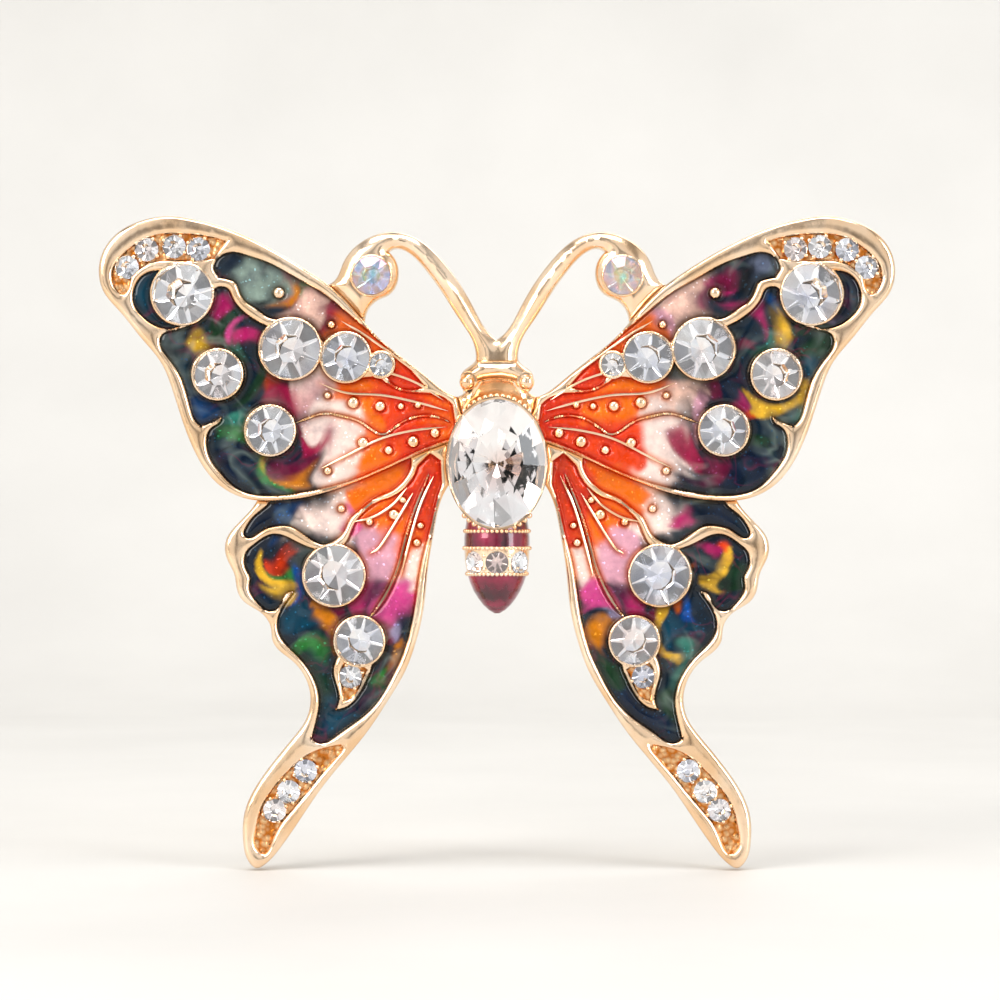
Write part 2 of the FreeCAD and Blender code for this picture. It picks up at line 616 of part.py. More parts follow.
def barrel_body(name, profile):
    """A round barrel about the upright axis at barrel_depth, cut flat at the back and by the thorax cup."""
    body = doc.addObject("PartDesign::Body", name)
    half = sketch_at(body, name + "_half", "barrel_depth")
    corners = [(0, profile[0][1]), *profile, (0, profile[-1][1])]
    draw(half, [[c] for c in corners], RIGHT)
    turned = body.newObject("PartDesign::Revolution", name + "_turned")
    turned.Profile = half
    turned.ReferenceAxis = (half, ["V_Axis"])
    turned.Angle = 360
    back = sketch_at(body, name + "_back", "back_depth")
    draw(back, BARREL_BACK, RIGHT)
    pocket(body, back, str(BARREL_BACK_DROP))
    trim_oval(body, name)
    return body


def abdomen():
    sunk = SIZES["abdomen_enamel"]
    upper = [(r - sunk, up) for r, up in BARREL if up >= BAND_TOP]
    band = [(r, up) for r, up in BARREL if BAND_BOTTOM <= up <= BAND_TOP]
    below = [(r - sunk, up) for r, up in BARREL if up <= BAND_BOTTOM and r > CORE_NARROWEST]
    core = barrel_body("abdomen_core", [*upper, *band, *below, CORE_TIP])
    full = barrel_body("abdomen_full", BARREL)
    node(cut("abdomen_coat", full, core), "abdomen_enamel")
    wells, stones = [], []
    for i, angle in enumerate((-BAND_ANGLE, 0.0, BAND_ANGLE)):
        around = FreeCAD.Rotation(FreeCAD.Vector(0, 0, 1), angle)
        outward = around.multVec(FreeCAD.Vector(0, -BAND_RADIUS, 0))
        place = FreeCAD.Vector(0, -SIZES["barrel_depth"], BAND_HEIGHT) + outward
        turn = around.multiply(FRONT_TURN)
        wells.append(seat(f"abdomen_{i}_well", "small_stone", place, turn))
        stones.append(chaton(f"abdomen_{i}_stone", "small_stone", place, turn))
    node(fuse("abdomen_stones", *stones), "abdomen_crystals")
    node(cut("abdomen_casting", core, fuse("abdomen_wells", *wells)), "abdomen_shell")


def foot(body, name, x):
    """The flat pad by which a finding is soldered to the back."""
    half_x, half_z = SIZES["pad_length"] / 2, SIZES["pad_height"] / 2
    sketch = sketch_at(body, name, "back_depth - pad_thick")
    corners = [(x - half_x, -half_z), (x + half_x, -half_z), (x + half_x, half_z), (x - half_x, half_z)]
    draw(sketch, [[c] for c in corners], RIGHT)
    pad(body, sketch, "pad_thick")


def hinge():
    x = -SIZES["hinge_out"]
    bracket = node(doc.addObject("PartDesign::Body", "bracket"), "hinge_bracket")
    foot(bracket, "bracket_foot", x)
    low = -SIZES["back_depth"] + SIZES["pad_thick"]
    radius = SIZES["ear_radius"]
    for word, level in (("upper", "eye_half + running_gap"), ("lower", "-1 * eye_half - running_gap - ear_thick")):
        ear = sketch_at(bracket, f"ear_{word}", level, "XY_Plane")
        right, left = FreeCAD.Vector(x + radius, 0, 0), FreeCAD.Vector(x - radius, 0, 0)
        right_foot = FreeCAD.Vector(x + SIZES["ear_foot"], low, 0)
        left_foot = FreeCAD.Vector(x - SIZES["ear_foot"], low, 0)
        ear.addGeometry(Part.LineSegment(left_foot, right_foot))
        ear.addGeometry(Part.LineSegment(right_foot, right))
        ear.addGeometry(Part.Arc(right, FreeCAD.Vector(x, radius, 0), left))
        ear.addGeometry(Part.LineSegment(left, left_foot))
        draw_circle(ear, (x, 0), "rivet_radius")
        pad(bracket, ear, "ear_thick")

    reach = "( eye_half + running_gap + ear_thick )"
    shaft = cylinder("rivet_shaft", "rivet_radius", f"2 * {reach}", (x, 0, 0))
    bind(shaft, "Placement.Base.z", f"-1 * {reach}")
    heads = []
    for word, level in (("upper", reach), ("lower", f"-1 * {reach} - rivet_head_thick")):
        cap = cylinder(f"rivet_{word}", "rivet_head", "rivet_head_thick", (x, 0, 0))
        bind(cap, "Placement.Base.z", level)
        heads.append(cap)
    node(fuse("rivet", shaft, *heads), "hinge_rivet")

    along = FreeCAD.Rotation(FreeCAD.Vector(0, 1, 0), 90)
    eye = cylinder("stem_eye", "eye_radius", "2 * eye_half", (x, 0, -SIZES["eye_half"]))
    clear_of_bore = SIZES["rivet_radius"] + SIZES["running_gap"] + SIZES["overlap"]
    root = doc.addObject("Part::Cone", "stem_root")
    bind(root, "Radius1", "root_radius")
    bind(root, "Radius2", "stem_radius")
    bind(root, "Height", f"hinge_out - stem_half - {clear_of_bore}")
    root.Placement = FreeCAD.Placement(FreeCAD.Vector(x + clear_of_bore, 0, 0), along)
    rod = cylinder("stem_rod", "stem_radius", "2 * stem_half", (-SIZES["stem_half"], 0, 0), along)
    point = doc.addObject("Part::Cone", "stem_point")
    bind(point, "Radius1", "stem_radius")
    bind(point, "Radius2", "point_radius")
    bind(point, "Height", "point_length")
    point.Placement = FreeCAD.Placement(FreeCAD.Vector(SIZES["stem_half"], 0, 0), along)
    below = -SIZES["eye_half"] - SIZES["cut_past"]
    bore = cylinder("stem_bore", "rivet_radius + running_gap", "2 * ( eye_half + cut_past )", (x, 0, below))
    node(cut("stem", fuse("stem_solid", eye, root, rod, point), bore), "pin_stem")


def slab(name, low, high):
    """A box between two corners."""
    item = doc.addObject("Part::Box", name)
    item.Length, item.Width, item.Height = (b - a for a, b in zip(low, high))
    item.Placement.Base = FreeCAD.Vector(*low)
    return item


def catch():
    x, half = SIZES["catch_out"], SIZES["catch_half"]
    plate, gap, web, past = SIZES["catch_plate"], SIZES["running_gap"], SIZES["web_half"], SIZES["cut_past"]
    through = "2 * ( catch_half + cut_past )"
    low = -SIZES["back_depth"]
    half_mouth = SIZES["mouth_width"] / 2
    mouth_low = (x - SIZES["mouth_half"], 0, -half_mouth)
    mouth_high = (x + SIZES["mouth_half"], SIZES["mouth_reach"], half_mouth)
    along = FreeCAD.Rotation(FreeCAD.Vector(0, 1, 0), 90)
    half_x, half_z = SIZES["pad_length"] / 2, SIZES["pad_height"] / 2
    solids = [slab("catch_foot", (x - half_x, low, -half_z), (x + half_x, low + SIZES["pad_thick"], half_z))]
    for word, start in (("near", x - half), ("far", x + half - plate)):
        solids.append(cylinder(f"catch_{word}_ring", "catch_radius", "catch_plate", (start, 0, 0), along))
        solids.append(slab(f"catch_{word}_web", (start, low, -web), (start + plate, 0, web)))
    bore = cylinder("catch_bore", "hub_radius + running_gap", through, (x - half - past, 0, 0), along)
    mouth = slab("catch_mouth", mouth_low, mouth_high)
    node(cut("catch", fuse("catch_solid", *solids), fuse("catch_opening", bore, mouth)), "catch_hook")

    inner = half - plate - gap
    hub = cylinder("lock_hub", "hub_radius", "2 * catch_half", (x - half, 0, 0), along)
    flange = cylinder("lock_flange", "flange_radius", "2 * ( catch_half - catch_plate - running_gap )",
                      (x - inner, 0, 0), along)
    half_lever = SIZES["lever_thick"] / 2
    lever = slab("lock_lever", (x - inner + gap, SIZES["hub_radius"], -half_lever),
                 (x + inner - gap, SIZES["lever_reach"], half_lever))
    lever.Placement = FreeCAD.Placement(
        FreeCAD.Vector(0, 0, 0), FreeCAD.Rotation(FreeCAD.Vector(1, 0, 0), LEVER_ANGLE)
    ).multiply(lever.Placement)
    hollow = cylinder("lock_bore", "hub_bore", through, (x - half - past, 0, 0), along)
    gate = slab("lock_gate", mouth_low, mouth_high)
    node(cut("lock", fuse("lock_solid", hub, flange, lever), fuse("lock_opening", hollow, gate)), "catch_lock")


def export():
    """Checks every object and writes one file for each sub-part."""
    doc.recompute()
    bad = [o.Name for o in doc.Objects if "Invalid" in o.State or "Error" in o.State]
    if bad:
        raise RuntimeError(f"these objects failed: {bad}")
    os.makedirs("parts", exist_ok=True)
    for item in nodes:
        shape = item.Shape
        if shape.isNull() or not shape.isValid() or not shape.Solids:
            raise RuntimeError(f"{item.Label} has no valid shape")
        shape.exportStep(f"parts/{item.Label}.step")
        print(f"{item.Label}: {len(shape.Solids)} solids, {shape.Volume:.2f} mm3")


for word, side in SIDES.items():
    forewing(word, side, "hinge_out" if side == LEFT else "catch_out")
    hindwing(word, side)
    antenna(word, side)
head()
thorax()
abdomen()
hinge()
catch()
export()
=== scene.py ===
import math
import random

import bpy
import numpy as np
from mathutils import Matrix, Vector, noise
from mathutils.geometry import delaunay_2d_cdt


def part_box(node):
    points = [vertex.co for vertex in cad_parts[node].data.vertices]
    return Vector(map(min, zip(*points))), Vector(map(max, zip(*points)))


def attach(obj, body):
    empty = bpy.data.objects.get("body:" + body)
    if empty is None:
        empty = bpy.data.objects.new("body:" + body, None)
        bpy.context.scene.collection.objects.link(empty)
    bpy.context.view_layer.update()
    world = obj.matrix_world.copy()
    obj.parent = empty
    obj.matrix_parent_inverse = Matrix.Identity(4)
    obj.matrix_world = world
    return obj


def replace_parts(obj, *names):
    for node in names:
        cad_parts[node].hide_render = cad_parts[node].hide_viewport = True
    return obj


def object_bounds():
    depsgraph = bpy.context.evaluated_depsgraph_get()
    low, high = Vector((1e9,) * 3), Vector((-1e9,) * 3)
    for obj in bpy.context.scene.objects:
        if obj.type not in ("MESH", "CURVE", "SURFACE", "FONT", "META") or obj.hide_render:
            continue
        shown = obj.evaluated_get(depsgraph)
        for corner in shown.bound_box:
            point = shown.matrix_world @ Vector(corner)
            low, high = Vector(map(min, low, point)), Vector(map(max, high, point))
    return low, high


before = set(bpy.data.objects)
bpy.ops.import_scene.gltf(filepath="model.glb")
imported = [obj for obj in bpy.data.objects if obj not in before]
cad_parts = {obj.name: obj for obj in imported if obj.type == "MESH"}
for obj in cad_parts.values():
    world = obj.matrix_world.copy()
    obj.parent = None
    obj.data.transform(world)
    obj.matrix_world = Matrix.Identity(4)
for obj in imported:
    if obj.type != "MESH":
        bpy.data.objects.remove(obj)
cad_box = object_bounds()

# A butterfly brooch seen from the front, which faces -Y: +X is the viewer's right and +Z is up.
# Lengths in this script are in millimetres until a mesh is made. "Depth" is the distance in front of the
# pin stem's axis, and places on a wing are (distance out from the middle plane, height).
MM = 0.001
SIDES = {"left": -1, "right": 1}
FINE = 1.0
dice = random.Random(7)


# ---- Materials ----


def linear(code):
    """A colour written as six hex digits, as the linear values that shaders use."""
    values = [int(code[i : i + 2], 16) / 255 for i in (0, 2, 4)]
    return [v / 12.92 if v <= 0.04045 else ((v + 0.055) / 1.055) ** 2.4 for v in values] + [1.0]


class Nodes:
    """A node tree, and short ways to add and join nodes."""

    def __init__(self, tree):
        self.tree = tree

    def add(self, kind, **settings):
        node = self.tree.nodes.new(kind)
        for key, value in settings.items():
            setattr(node, key, value)
        return node

    def join(self, output, target):
        self.tree.links.new(output, target)

    def span(self, value, low, high, start=0.0, end=1.0, kind="LINEAR"):
        node = self.add("ShaderNodeMapRange", interpolation_type=kind)
        self.join(value, node.inputs["Value"])
        for key, number in (("From Min", start), ("From Max", end), ("To Min", low), ("To Max", high)):
            node.inputs[key].default_value = number
        return node.outputs["Result"]

    def product(self, a, b):
        node = self.add("ShaderNodeMath", operation="MULTIPLY")
        self.join(a, node.inputs[0])
        self.join(b, node.inputs[1])
        return node.outputs["Value"]


class Shader(Nodes):
    """A material under construction. A colour is a list of linear values or six hex digits."""

    def __init__(self, name):
        self.material = bpy.data.materials.new(name)
        self.material.use_nodes = True
        super().__init__(self.material.node_tree)
        self.surface = self.tree.nodes["Principled BSDF"]
        self.place = self.add("ShaderNodeTexCoord").outputs["Object"]

    def set(self, **values):
        """Sets the main shader's sockets; a keyword's underscores stand for spaces."""
        for key, value in values.items():
            self.surface.inputs[key.replace("_", " ")].default_value = value

    def noise(self, scale, detail=3.0, roughness=0.5, curl=0.0):
        node = self.add("ShaderNodeTexNoise")
        node.inputs["Distortion"].default_value = curl
        node.inputs["Scale"].default_value = scale
        node.inputs["Detail"].default_value = detail
        node.inputs["Roughness"].default_value = roughness
        self.join(self.place, node.inputs["Vector"])
        return node.outputs["Fac"]

    def cells(self, scale):
        node = self.add("ShaderNodeTexVoronoi")
        node.inputs["Scale"].default_value = scale
        self.join(self.place, node.inputs["Vector"])
        return node

    def ramp(self, value, *stops):
        node = self.add("ShaderNodeValToRGB")
        band = node.color_ramp.elements
        while len(band) < len(stops):
            band.new(0.5)
        for element, (position, colour) in zip(band, stops):
            element.position = position
            element.color = linear(colour) if isinstance(colour, str) else colour
        self.join(value, node.inputs["Fac"])
        return node.outputs["Color"]

    def mix(self, share, a, b, blend="MIX"):
        """Mixes two colours, each a colour or an output; share is an output or a number."""
        node = self.add("ShaderNodeMix", data_type="RGBA", blend_type=blend)
        for socket, value in ((node.inputs[0], share), (node.inputs[6], a), (node.inputs[7], b)):
            if isinstance(value, bpy.types.NodeSocket):
                self.join(value, socket)
            else:
                socket.default_value = linear(value) if isinstance(value, str) else value
        return node.outputs[2]

    def bump(self, height, strength, distance, before=None):
        node = self.add("ShaderNodeBump")
        node.inputs["Strength"].default_value = strength
        node.inputs["Distance"].default_value = distance
        self.join(height, node.inputs["Height"])
        if before is not None:
            self.join(before, node.inputs["Normal"])
        return node.outputs["Normal"]

    def finish(self, **outputs):
        """Joins outputs to the main shader's sockets and gives the material."""
        for key, output in outputs.items():
            self.join(output, self.surface.inputs[key.replace("_", " ")])
        return self.material


def gold_material(name, light, warm, roughness, ripple):
    """Polished plate: slight drifts of tone and polish, a soft ripple from the casting and fine scratches."""
    s = Shader(name)
    s.set(Metallic=1.0, IOR=1.45)
    drift = s.ramp(s.noise(260, 2), (0.35, warm), (0.65, light))
    tone = s.mix(s.span(s.noise(1900, 4), 0.0, 0.25), drift, warm)
    polish = s.span(s.noise(900, 4), roughness * 0.7, roughness * 1.5, 0.3, 0.7)
    ripples = s.bump(s.noise(420, 2), ripple, 0.00025)
    grain = s.bump(s.noise(5200, 3), 0.12, 0.00003, ripples)
    return s.finish(Base_Color=tone, Roughness=polish, Normal=grain)


def granulated_material():
    """The grained gold in the channels that hold the small stones: deeper in colour between the grains, which
    is painted shade, and lighter on their tops as a painted highlight.
    """
    s = Shader("granulated_gold")
    s.set(Metallic=1.0)
    grains = s.cells(2300).outputs["Distance"]
    # painted shade between the grains and painted highlight on their tops, set by the distance from each
    # grain's middle
    tone = s.ramp(grains, (0.1, "f5cf9c"), (0.75, "c8742c"))
    rough = s.span(s.noise(1500), 0.2, 0.38)
    return s.finish(Base_Color=tone, Roughness=rough, Normal=s.bump(grains, 0.7, -0.00012))


# smoke drawn through the wet enamel: (scale, half width of a thread in the noise, colour, strength)
WISPS = [(240, 0.1, "9fb2a8", 0.22), (220, 0.12, "03070d", 0.6), (380, 0.07, "8a1746", 0.2)]


def enamel_material(name):
    """Poured enamel: the painted colours, with painted shade along the walls, clouded and flecked with
    glitter whose sparkle is a painted glint, under a clear glossy top.
    """
    s = Shader(name)
    s.set(IOR=1.45, Roughness=0.3, Specular_IOR_Level=0.0)
    s.set(Coat_Weight=1.0, Coat_Roughness=0.02, Coat_IOR=1.42)
    # the painted colours, which carry painted shade along the walls and veins
    paint = s.add("ShaderNodeAttribute", attribute_name="paint").outputs["Color"]
    grain = s.add("ShaderNodeAttribute", attribute_name="grain").outputs["Fac"]
    clouds = s.noise(650, 5, 0.62)
    shade = s.ramp(clouds, (0.32, (0.45, 0.42, 0.5, 1)), (0.68, (1.25, 1.2, 1.2, 1)))
    colour = s.mix(s.span(grain, 0.8, 0.3), paint, shade, "MULTIPLY")
    for scale, width, tone, share in WISPS:
        thread = s.noise(scale, 1, 0.4, 1.6)
        line = s.ramp(thread, (0.5 - width, (0, 0, 0, 1)), (0.5, (1, 1, 1, 1)), (0.5 + width, (0, 0, 0, 1)))
        patch = s.span(s.noise(scale * 0.7, 1), 0.0, share, 0.5, 0.64)
        there = s.mix(s.span(grain, 0.0, 1.0, 0.0, 0.4), s.mix(1.0, line, patch, "MULTIPLY"), (0, 0, 0, 1))
        colour = s.mix(there, colour, tone)
    # glitter flecks, their sparkle painted in as a colour brighter than the enamel around them
    flecks = s.cells(7000)
    bright = s.add("ShaderNodeSeparateColor")
    s.join(flecks.outputs["Color"], bright.inputs["Color"])
    chosen = s.span(bright.outputs["Red"], 0.0, 0.55, 0.965, 1.0)
    glitter_and_glint = s.mix(0.1, s.mix(1.0, paint, (2.4, 3.2, 4.0, 1), "MULTIPLY"), "4f9fc0")
    colour = s.mix(chosen, colour, glitter_and_glint)
    normal = s.bump(s.product(s.noise(2600, 3, 0.6), grain), 0.6, 0.00012)
    metal = s.span(grain, 0.12, 0.3)
    return s.finish(Base_Color=colour, Metallic=metal, Normal=normal)


def plum_material():
    """Translucent plum enamel over the abdomen, in darker and lighter patches."""
    s = Shader("plum_enamel")
    s.set(Roughness=0.25, Coat_Weight=1.0, Coat_Roughness=0.03, Metallic=0.35, IOR=1.5)
    tone = s.ramp(s.noise(520, 4), (0.35, "3a0618"), (0.6, "8a1038"), (0.8, "b8335a"))
    return s.finish(Base_Color=tone, Normal=s.bump(s.noise(700, 2), 0.15, 0.0001))


def crystal_material(name, tint):
    """Clear cut glass with a trace of haze and polish marks."""
    s = Shader(name)
    s.set(Transmission_Weight=1.0, IOR=1.56, Roughness=0.0)
    tone = s.ramp(s.noise(500, 2), (0.3, tint), (0.7, "ffffff"))
    return s.finish(Base_Color=tone)


def foil_material(name, first, second, third):
    """The mirror foil on a stone's back, in slightly different tones from facet to facet."""
    s = Shader(name)
    s.set(Metallic=1.0, Roughness=0.04)
    tone = s.ramp(s.noise(280, 1), (0.3, first), (0.5, second), (0.72, third))
    return s.finish(Base_Color=tone)


def iris_material():
    """Cut glass with an iridescent coat."""
    s = Shader("iris_crystal")
    s.set(Transmission_Weight=0.75, IOR=1.56, Roughness=0.02, Coat_Weight=1.0, Coat_Roughness=0.02)
    s.set(Thin_Film_Thickness=430.0, Thin_Film_IOR=1.9)
    tone = s.ramp(
        s.noise(900, 1),
        (0.36, "a9dcf8"),
        (0.46, "f4f0ff"),
        (0.55, "fbe0b0"),
        (0.64, "c6f6de"),
    )
    return s.finish(Base_Color=tone)


def steel_material():
    """Drawn and plated spring wire, with fine lines along it."""
    s = Shader("pin_wire")
    s.set(Metallic=1.0)
    stretch = s.add("ShaderNodeMapping")
    stretch.inputs["Scale"].default_value = (60, 2600, 2600)
    s.join(s.place, stretch.inputs["Vector"])
    lines = s.add("ShaderNodeTexNoise")
    lines.inputs["Scale"].default_value = 1.0
    s.join(stretch.outputs["Vector"], lines.inputs["Vector"])
    value = lines.outputs["Fac"]
    tone = s.ramp(value, (0.3, "c9a878"), (0.7, "e8cfa4"))
    return s.finish(Base_Color=tone, Roughness=s.span(value, 0.14, 0.3), Normal=s.bump(value, 0.1, 0.00003))


GOLD = gold_material("champagne_gold", "fee6cb", "f3cba0", 0.15, 0.3)
BACK_GOLD = gold_material("casting_back_gold", "f5d8b0", "e9c495", 0.22, 0.35)
FINDING_GOLD = gold_material("finding_gold", "f6dab0", "e6bd88", 0.16, 0.12)
GRAINED = granulated_material()
ENAMEL = enamel_material("wing_enamel")
PLUM = plum_material()
CRYSTAL = crystal_material("clear_crystal", "f6f7fb")
OVAL_CRYSTAL = crystal_material("oval_crystal", "faf3f2")
FOIL = foil_material("stone_foil", "ecedf4", "ffffff", "f6eae6")
OVAL_FOIL = foil_material("oval_foil", "f2f0f0", "ffffff", "f8e4de")
IRIS = iris_material()
IRIS_FOIL = foil_material("iris_foil", "b4dcfa", "ffffff", "fbd79c")
WIRE = steel_material()


# ---- Pieces ----


def in_scene(name, data):
    item = bpy.data.objects.new(name, data)
    bpy.context.scene.collection.objects.link(item)
    return item


def piece(name, points, faces, materials, body="root", which=None, sharp=40.0, smooth=True):
    """Makes a mesh piece from points in millimetres, and lets it ride on its body."""
    mesh = bpy.data.meshes.new(name)
    mesh.from_pydata([(x * MM, y * MM, z * MM) for x, y, z in points], [], faces)
    for material in materials:
        mesh.materials.append(material)
    if which is not None:
        mesh.polygons.foreach_set("material_index", which)
    item = in_scene(name, mesh)
    if smooth:
        mesh.shade_smooth()
        mesh.set_sharp_from_angle(angle=math.radians(sharp))
    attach(item, body)
    return item


class Parts:
    """Points and faces of several small shapes gathered into one mesh."""

    def __init__(self):
        self.points, self.faces, self.which = [], [], []

    def take(self, points, faces, which=0):
        base = len(self.points)
        self.points += [tuple(p) for p in points]
        self.faces += [[base + i for i in face] for face in faces]
        self.which += [which] * len(faces) if isinstance(which, int) else list(which)

    def ball(self, centre, radius, rings=6, around=10, squash=1.0):
        """A cast grain: a slightly uneven ball, flattened front to back by squash."""
        points = [(0, -radius * squash, 0)]
        for i in range(1, rings):
            tilt = math.pi * i / rings
            for k in range(around):
                turn = 2 * math.pi * k / around
                out = radius * math.sin(tilt)
                points.append((out * math.cos(turn), -radius * squash * math.cos(tilt), out * math.sin(turn)))
        points.append((0, radius * squash, 0))
        last = len(points) - 1
        faces = [[0, 1 + (k + 1) % around, 1 + k] for k in range(around)]
        for i in range(rings - 2):
            a, b = 1 + i * around, 1 + (i + 1) * around
            faces += [[a + k, a + (k + 1) % around, b + (k + 1) % around, b + k] for k in range(around)]
        a = 1 + (rings - 2) * around
        faces += [[a + k, a + (k + 1) % around, last] for k in range(around)]
        self.take([(centre[0] + x, centre[1] + y, centre[2] + z) for x, y, z in points], faces)

    def ridge(self, line, half_width, rise, around=8):
        """A raised vein along a line of (x, depth, z): a rounded wire that tapers to a point at both ends."""
        count = len(line)
        points, faces = [], []
        for i, (x, depth, z) in enumerate(line):
            before, after = line[max(i - 1, 0)], line[min(i + 1, count - 1)]
            along = Vector((after[0] - before[0], 0, after[2] - before[2])).normalized()
            across = Vector((along.z, 0, -along.x))
            share = i / (count - 1)
            taper = min(1.0, 6 * share + 0.08, 5 * (1 - share) + 0.08)
            for k in range(around):
                turn = 2 * math.pi * k / around
                side = half_width * taper * math.cos(turn)
                up = rise * taper * math.sin(turn)
                points.append((x + across.x * side, -depth - up, z + across.z * side))
        for i in range(count - 1):
            a, b = i * around, (i + 1) * around
            faces += [[a + k, a + (k + 1) % around, b + (k + 1) % around, b + k] for k in range(around)]
        faces += [list(range(around))[::-1], list(range(len(points) - around, len(points)))]
        self.take(points, faces)


# ---- Flat regions of the CAD nodes, and bodies built over them ----


def spot(p):
    """A place rounded to the micron, which tells whether two places are the same."""
    return round(float(p[0]), 3), round(float(p[1]), 3)


def regions(node, facing):
    """The node's flat faces that face the front (-1) or the back (1), as {depth: border lines (n, 2, 2)}."""
    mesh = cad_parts[node].data
    found = {}
    for face in mesh.polygons:
        if face.normal.y * facing < 0.999:
            continue
        edges = found.setdefault(round(-face.center.y / MM, 2), {})
        corners = [mesh.vertices[i].co / MM for i in face.vertices]
        corners = [spot((c.x, c.z)) for c in corners]
        for a, b in zip(corners, corners[1:] + corners[:1]):
            if a != b:
                key = (min(a, b), max(a, b))
                edges[key] = edges.get(key, 0) + 1
    borders = {depth: np.array([k for k, n in edges.items() if n == 1]) for depth, edges in found.items()}
    return {depth: lines for depth, lines in borders.items() if len(lines) > 2}


def in_chunks(work, points, size=1500):
    return np.concatenate([work(points[i : i + size]) for i in range(0, len(points), size)])


def inside(points, lines):
    """Which points lie inside the border lines."""
    (ax, ay), (bx, by) = lines[:, 0].T, lines[:, 1].T
    slope = (bx - ax) / np.where(by == ay, 1.0, by - ay)

    def test(p):
        x, y = p[:, 0, None], p[:, 1, None]
        return (((ay > y) != (by > y)) & (x < ax + (y - ay) * slope)).sum(1) % 2 == 1

    return in_chunks(test, points)


def distance(points, lines):
    """How far each point is from the nearest border line."""
    start, along = lines[:, 0], lines[:, 1] - lines[:, 0]
    square = np.maximum((along**2).sum(1), 1e-12)

    def measure(p):
        to = p[:, None] - start
        share = np.clip((to * along).sum(2) / square, 0, 1)
        return np.sqrt(((to - share[..., None] * along) ** 2).sum(2)).min(1)

    return in_chunks(measure, points)


def split(lines, step):
    """Border lines cut into even lengths no longer than step."""
    short = []
    for a, b in lines:
        count = max(1, math.ceil(np.linalg.norm(b - a) / step))
        marks = [a + (b - a) * i / count for i in range(count + 1)]
        short += list(zip(marks, marks[1:]))
    return np.array(short)


def beside(lines, offsets):
    """Points on both sides of the middle of each line, at each offset."""
    along = lines[:, 1] - lines[:, 0]
    long_enough = np.linalg.norm(along, axis=1) > 0.03
    middle, along = lines[long_enough].mean(1), along[long_enough]
    normal = np.stack([along[:, 1], -along[:, 0]], 1) / np.linalg.norm(along, axis=1)[:, None]
    sides = {}
    for offset in offsets:
        sides[offset] = np.concatenate([middle + normal * offset, middle - normal * offset])
    return sides


def grid(lines, step):
    """Points of an even triangular grid that covers the border lines."""
    low, high = lines.reshape(-1, 2).min(0), lines.reshape(-1, 2).max(0)
    rows = np.arange(low[1], high[1], step * 0.866)
    columns = np.arange(low[0], high[0], step)
    x, y = np.meshgrid(columns, rows)
    x = x + (np.arange(len(rows)) % 2)[:, None] * step / 2
    return np.stack([x.ravel(), y.ravel()], 1)


def triangles(points, lines):
    """A triangulation of the points that keeps every border line: (points, triangles)."""
    ends, index = [], {}
    edges = []
    for a, b in lines:
        pair = []
        for p in (a, b):
            key = spot(p)
            if key not in index:
                index[key] = len(ends)
                ends.append(key)
            pair.append(index[key])
        if pair[0] != pair[1]:
            edges.append(tuple(pair))
    every = [Vector(p) for p in ends] + [Vector((float(x), float(y))) for x, y in points]
    made = delaunay_2d_cdt(every, list(set(edges)), [], 0, 0.0005, False)
    return np.array([tuple(v) for v in made[0]]), np.array(made[2])


# a wide rim swells gently towards its middle besides being rounded at its edges
BAR_RISE = 0.16
BAR_REACH = 1.1


def crown(away, reach, drop, shape="round"):
    """How far a surface lies below its top at a distance from its free border."""
    share = np.clip(away / reach, 0, 1)
    rounded = drop * (1 - np.sqrt(np.maximum(0, 1 - (1 - share) ** 2)))
    if shape == "ridge":
        return 0.5 * rounded + 0.5 * drop * (1 - share) ** 1.2
    if shape == "barred":
        return rounded + BAR_RISE * (1 - np.clip(away / BAR_REACH, 0, 1)) ** 2
    return rounded


RINGS = (0.04, 0.12, 0.24, 0.38)


def rings_and_grid(lines, all_lines, ring_offsets, step, keep):
    """Points beside the border lines and on a grid, where keep says so and no border is closer than meant."""
    chosen = []
    for offset, places in beside(lines, ring_offsets).items():
        places = places[keep(places)]
        if len(places):
            chosen.append(places[distance(places, all_lines) > offset * 0.85])
    if step:
        places = grid(lines, step)
        places = places[keep(places)]
        if len(places):
            chosen.append(places[distance(places, all_lines) > ring_offsets[-1] * 1.25])
    return np.concatenate(chosen) if chosen else np.zeros((0, 2))


# the back of a casting: how far its rounded edge reaches and drops, and how far a recess's slope reaches
BACK_EDGE, BACK_DROP, RECESS_SLOPE = 0.3, 0.18, 0.7


def back_surface(rim, back, step=0.5):
    """The back of a casting: points and triangles inside the rim lines, and each point's depth."""
    highest = min(back)
    solid = back[highest]
    deeper = [d for d in back if highest + 0.1 < d < highest + 1.0]
    hollow = deeper[0] - highest if deeper else 0.0
    keep = lambda p: inside(p, rim)
    extra = rings_and_grid(rim, rim, (0.1, 0.28), step, keep)
    points, faces = triangles(extra, rim)
    faces = faces[inside(points[faces].mean(1), rim)]
    depth = highest + crown(distance(points, rim), BACK_EDGE, BACK_DROP)
    if hollow:
        recessed = ~inside(points, solid) & (distance(points, rim) > BACK_EDGE)
        share = np.clip(distance(points, solid) / RECESS_SLOPE, 0, 1) * recessed
        depth = depth + hollow * share * share * (3 - 2 * share)
    return points, faces, depth


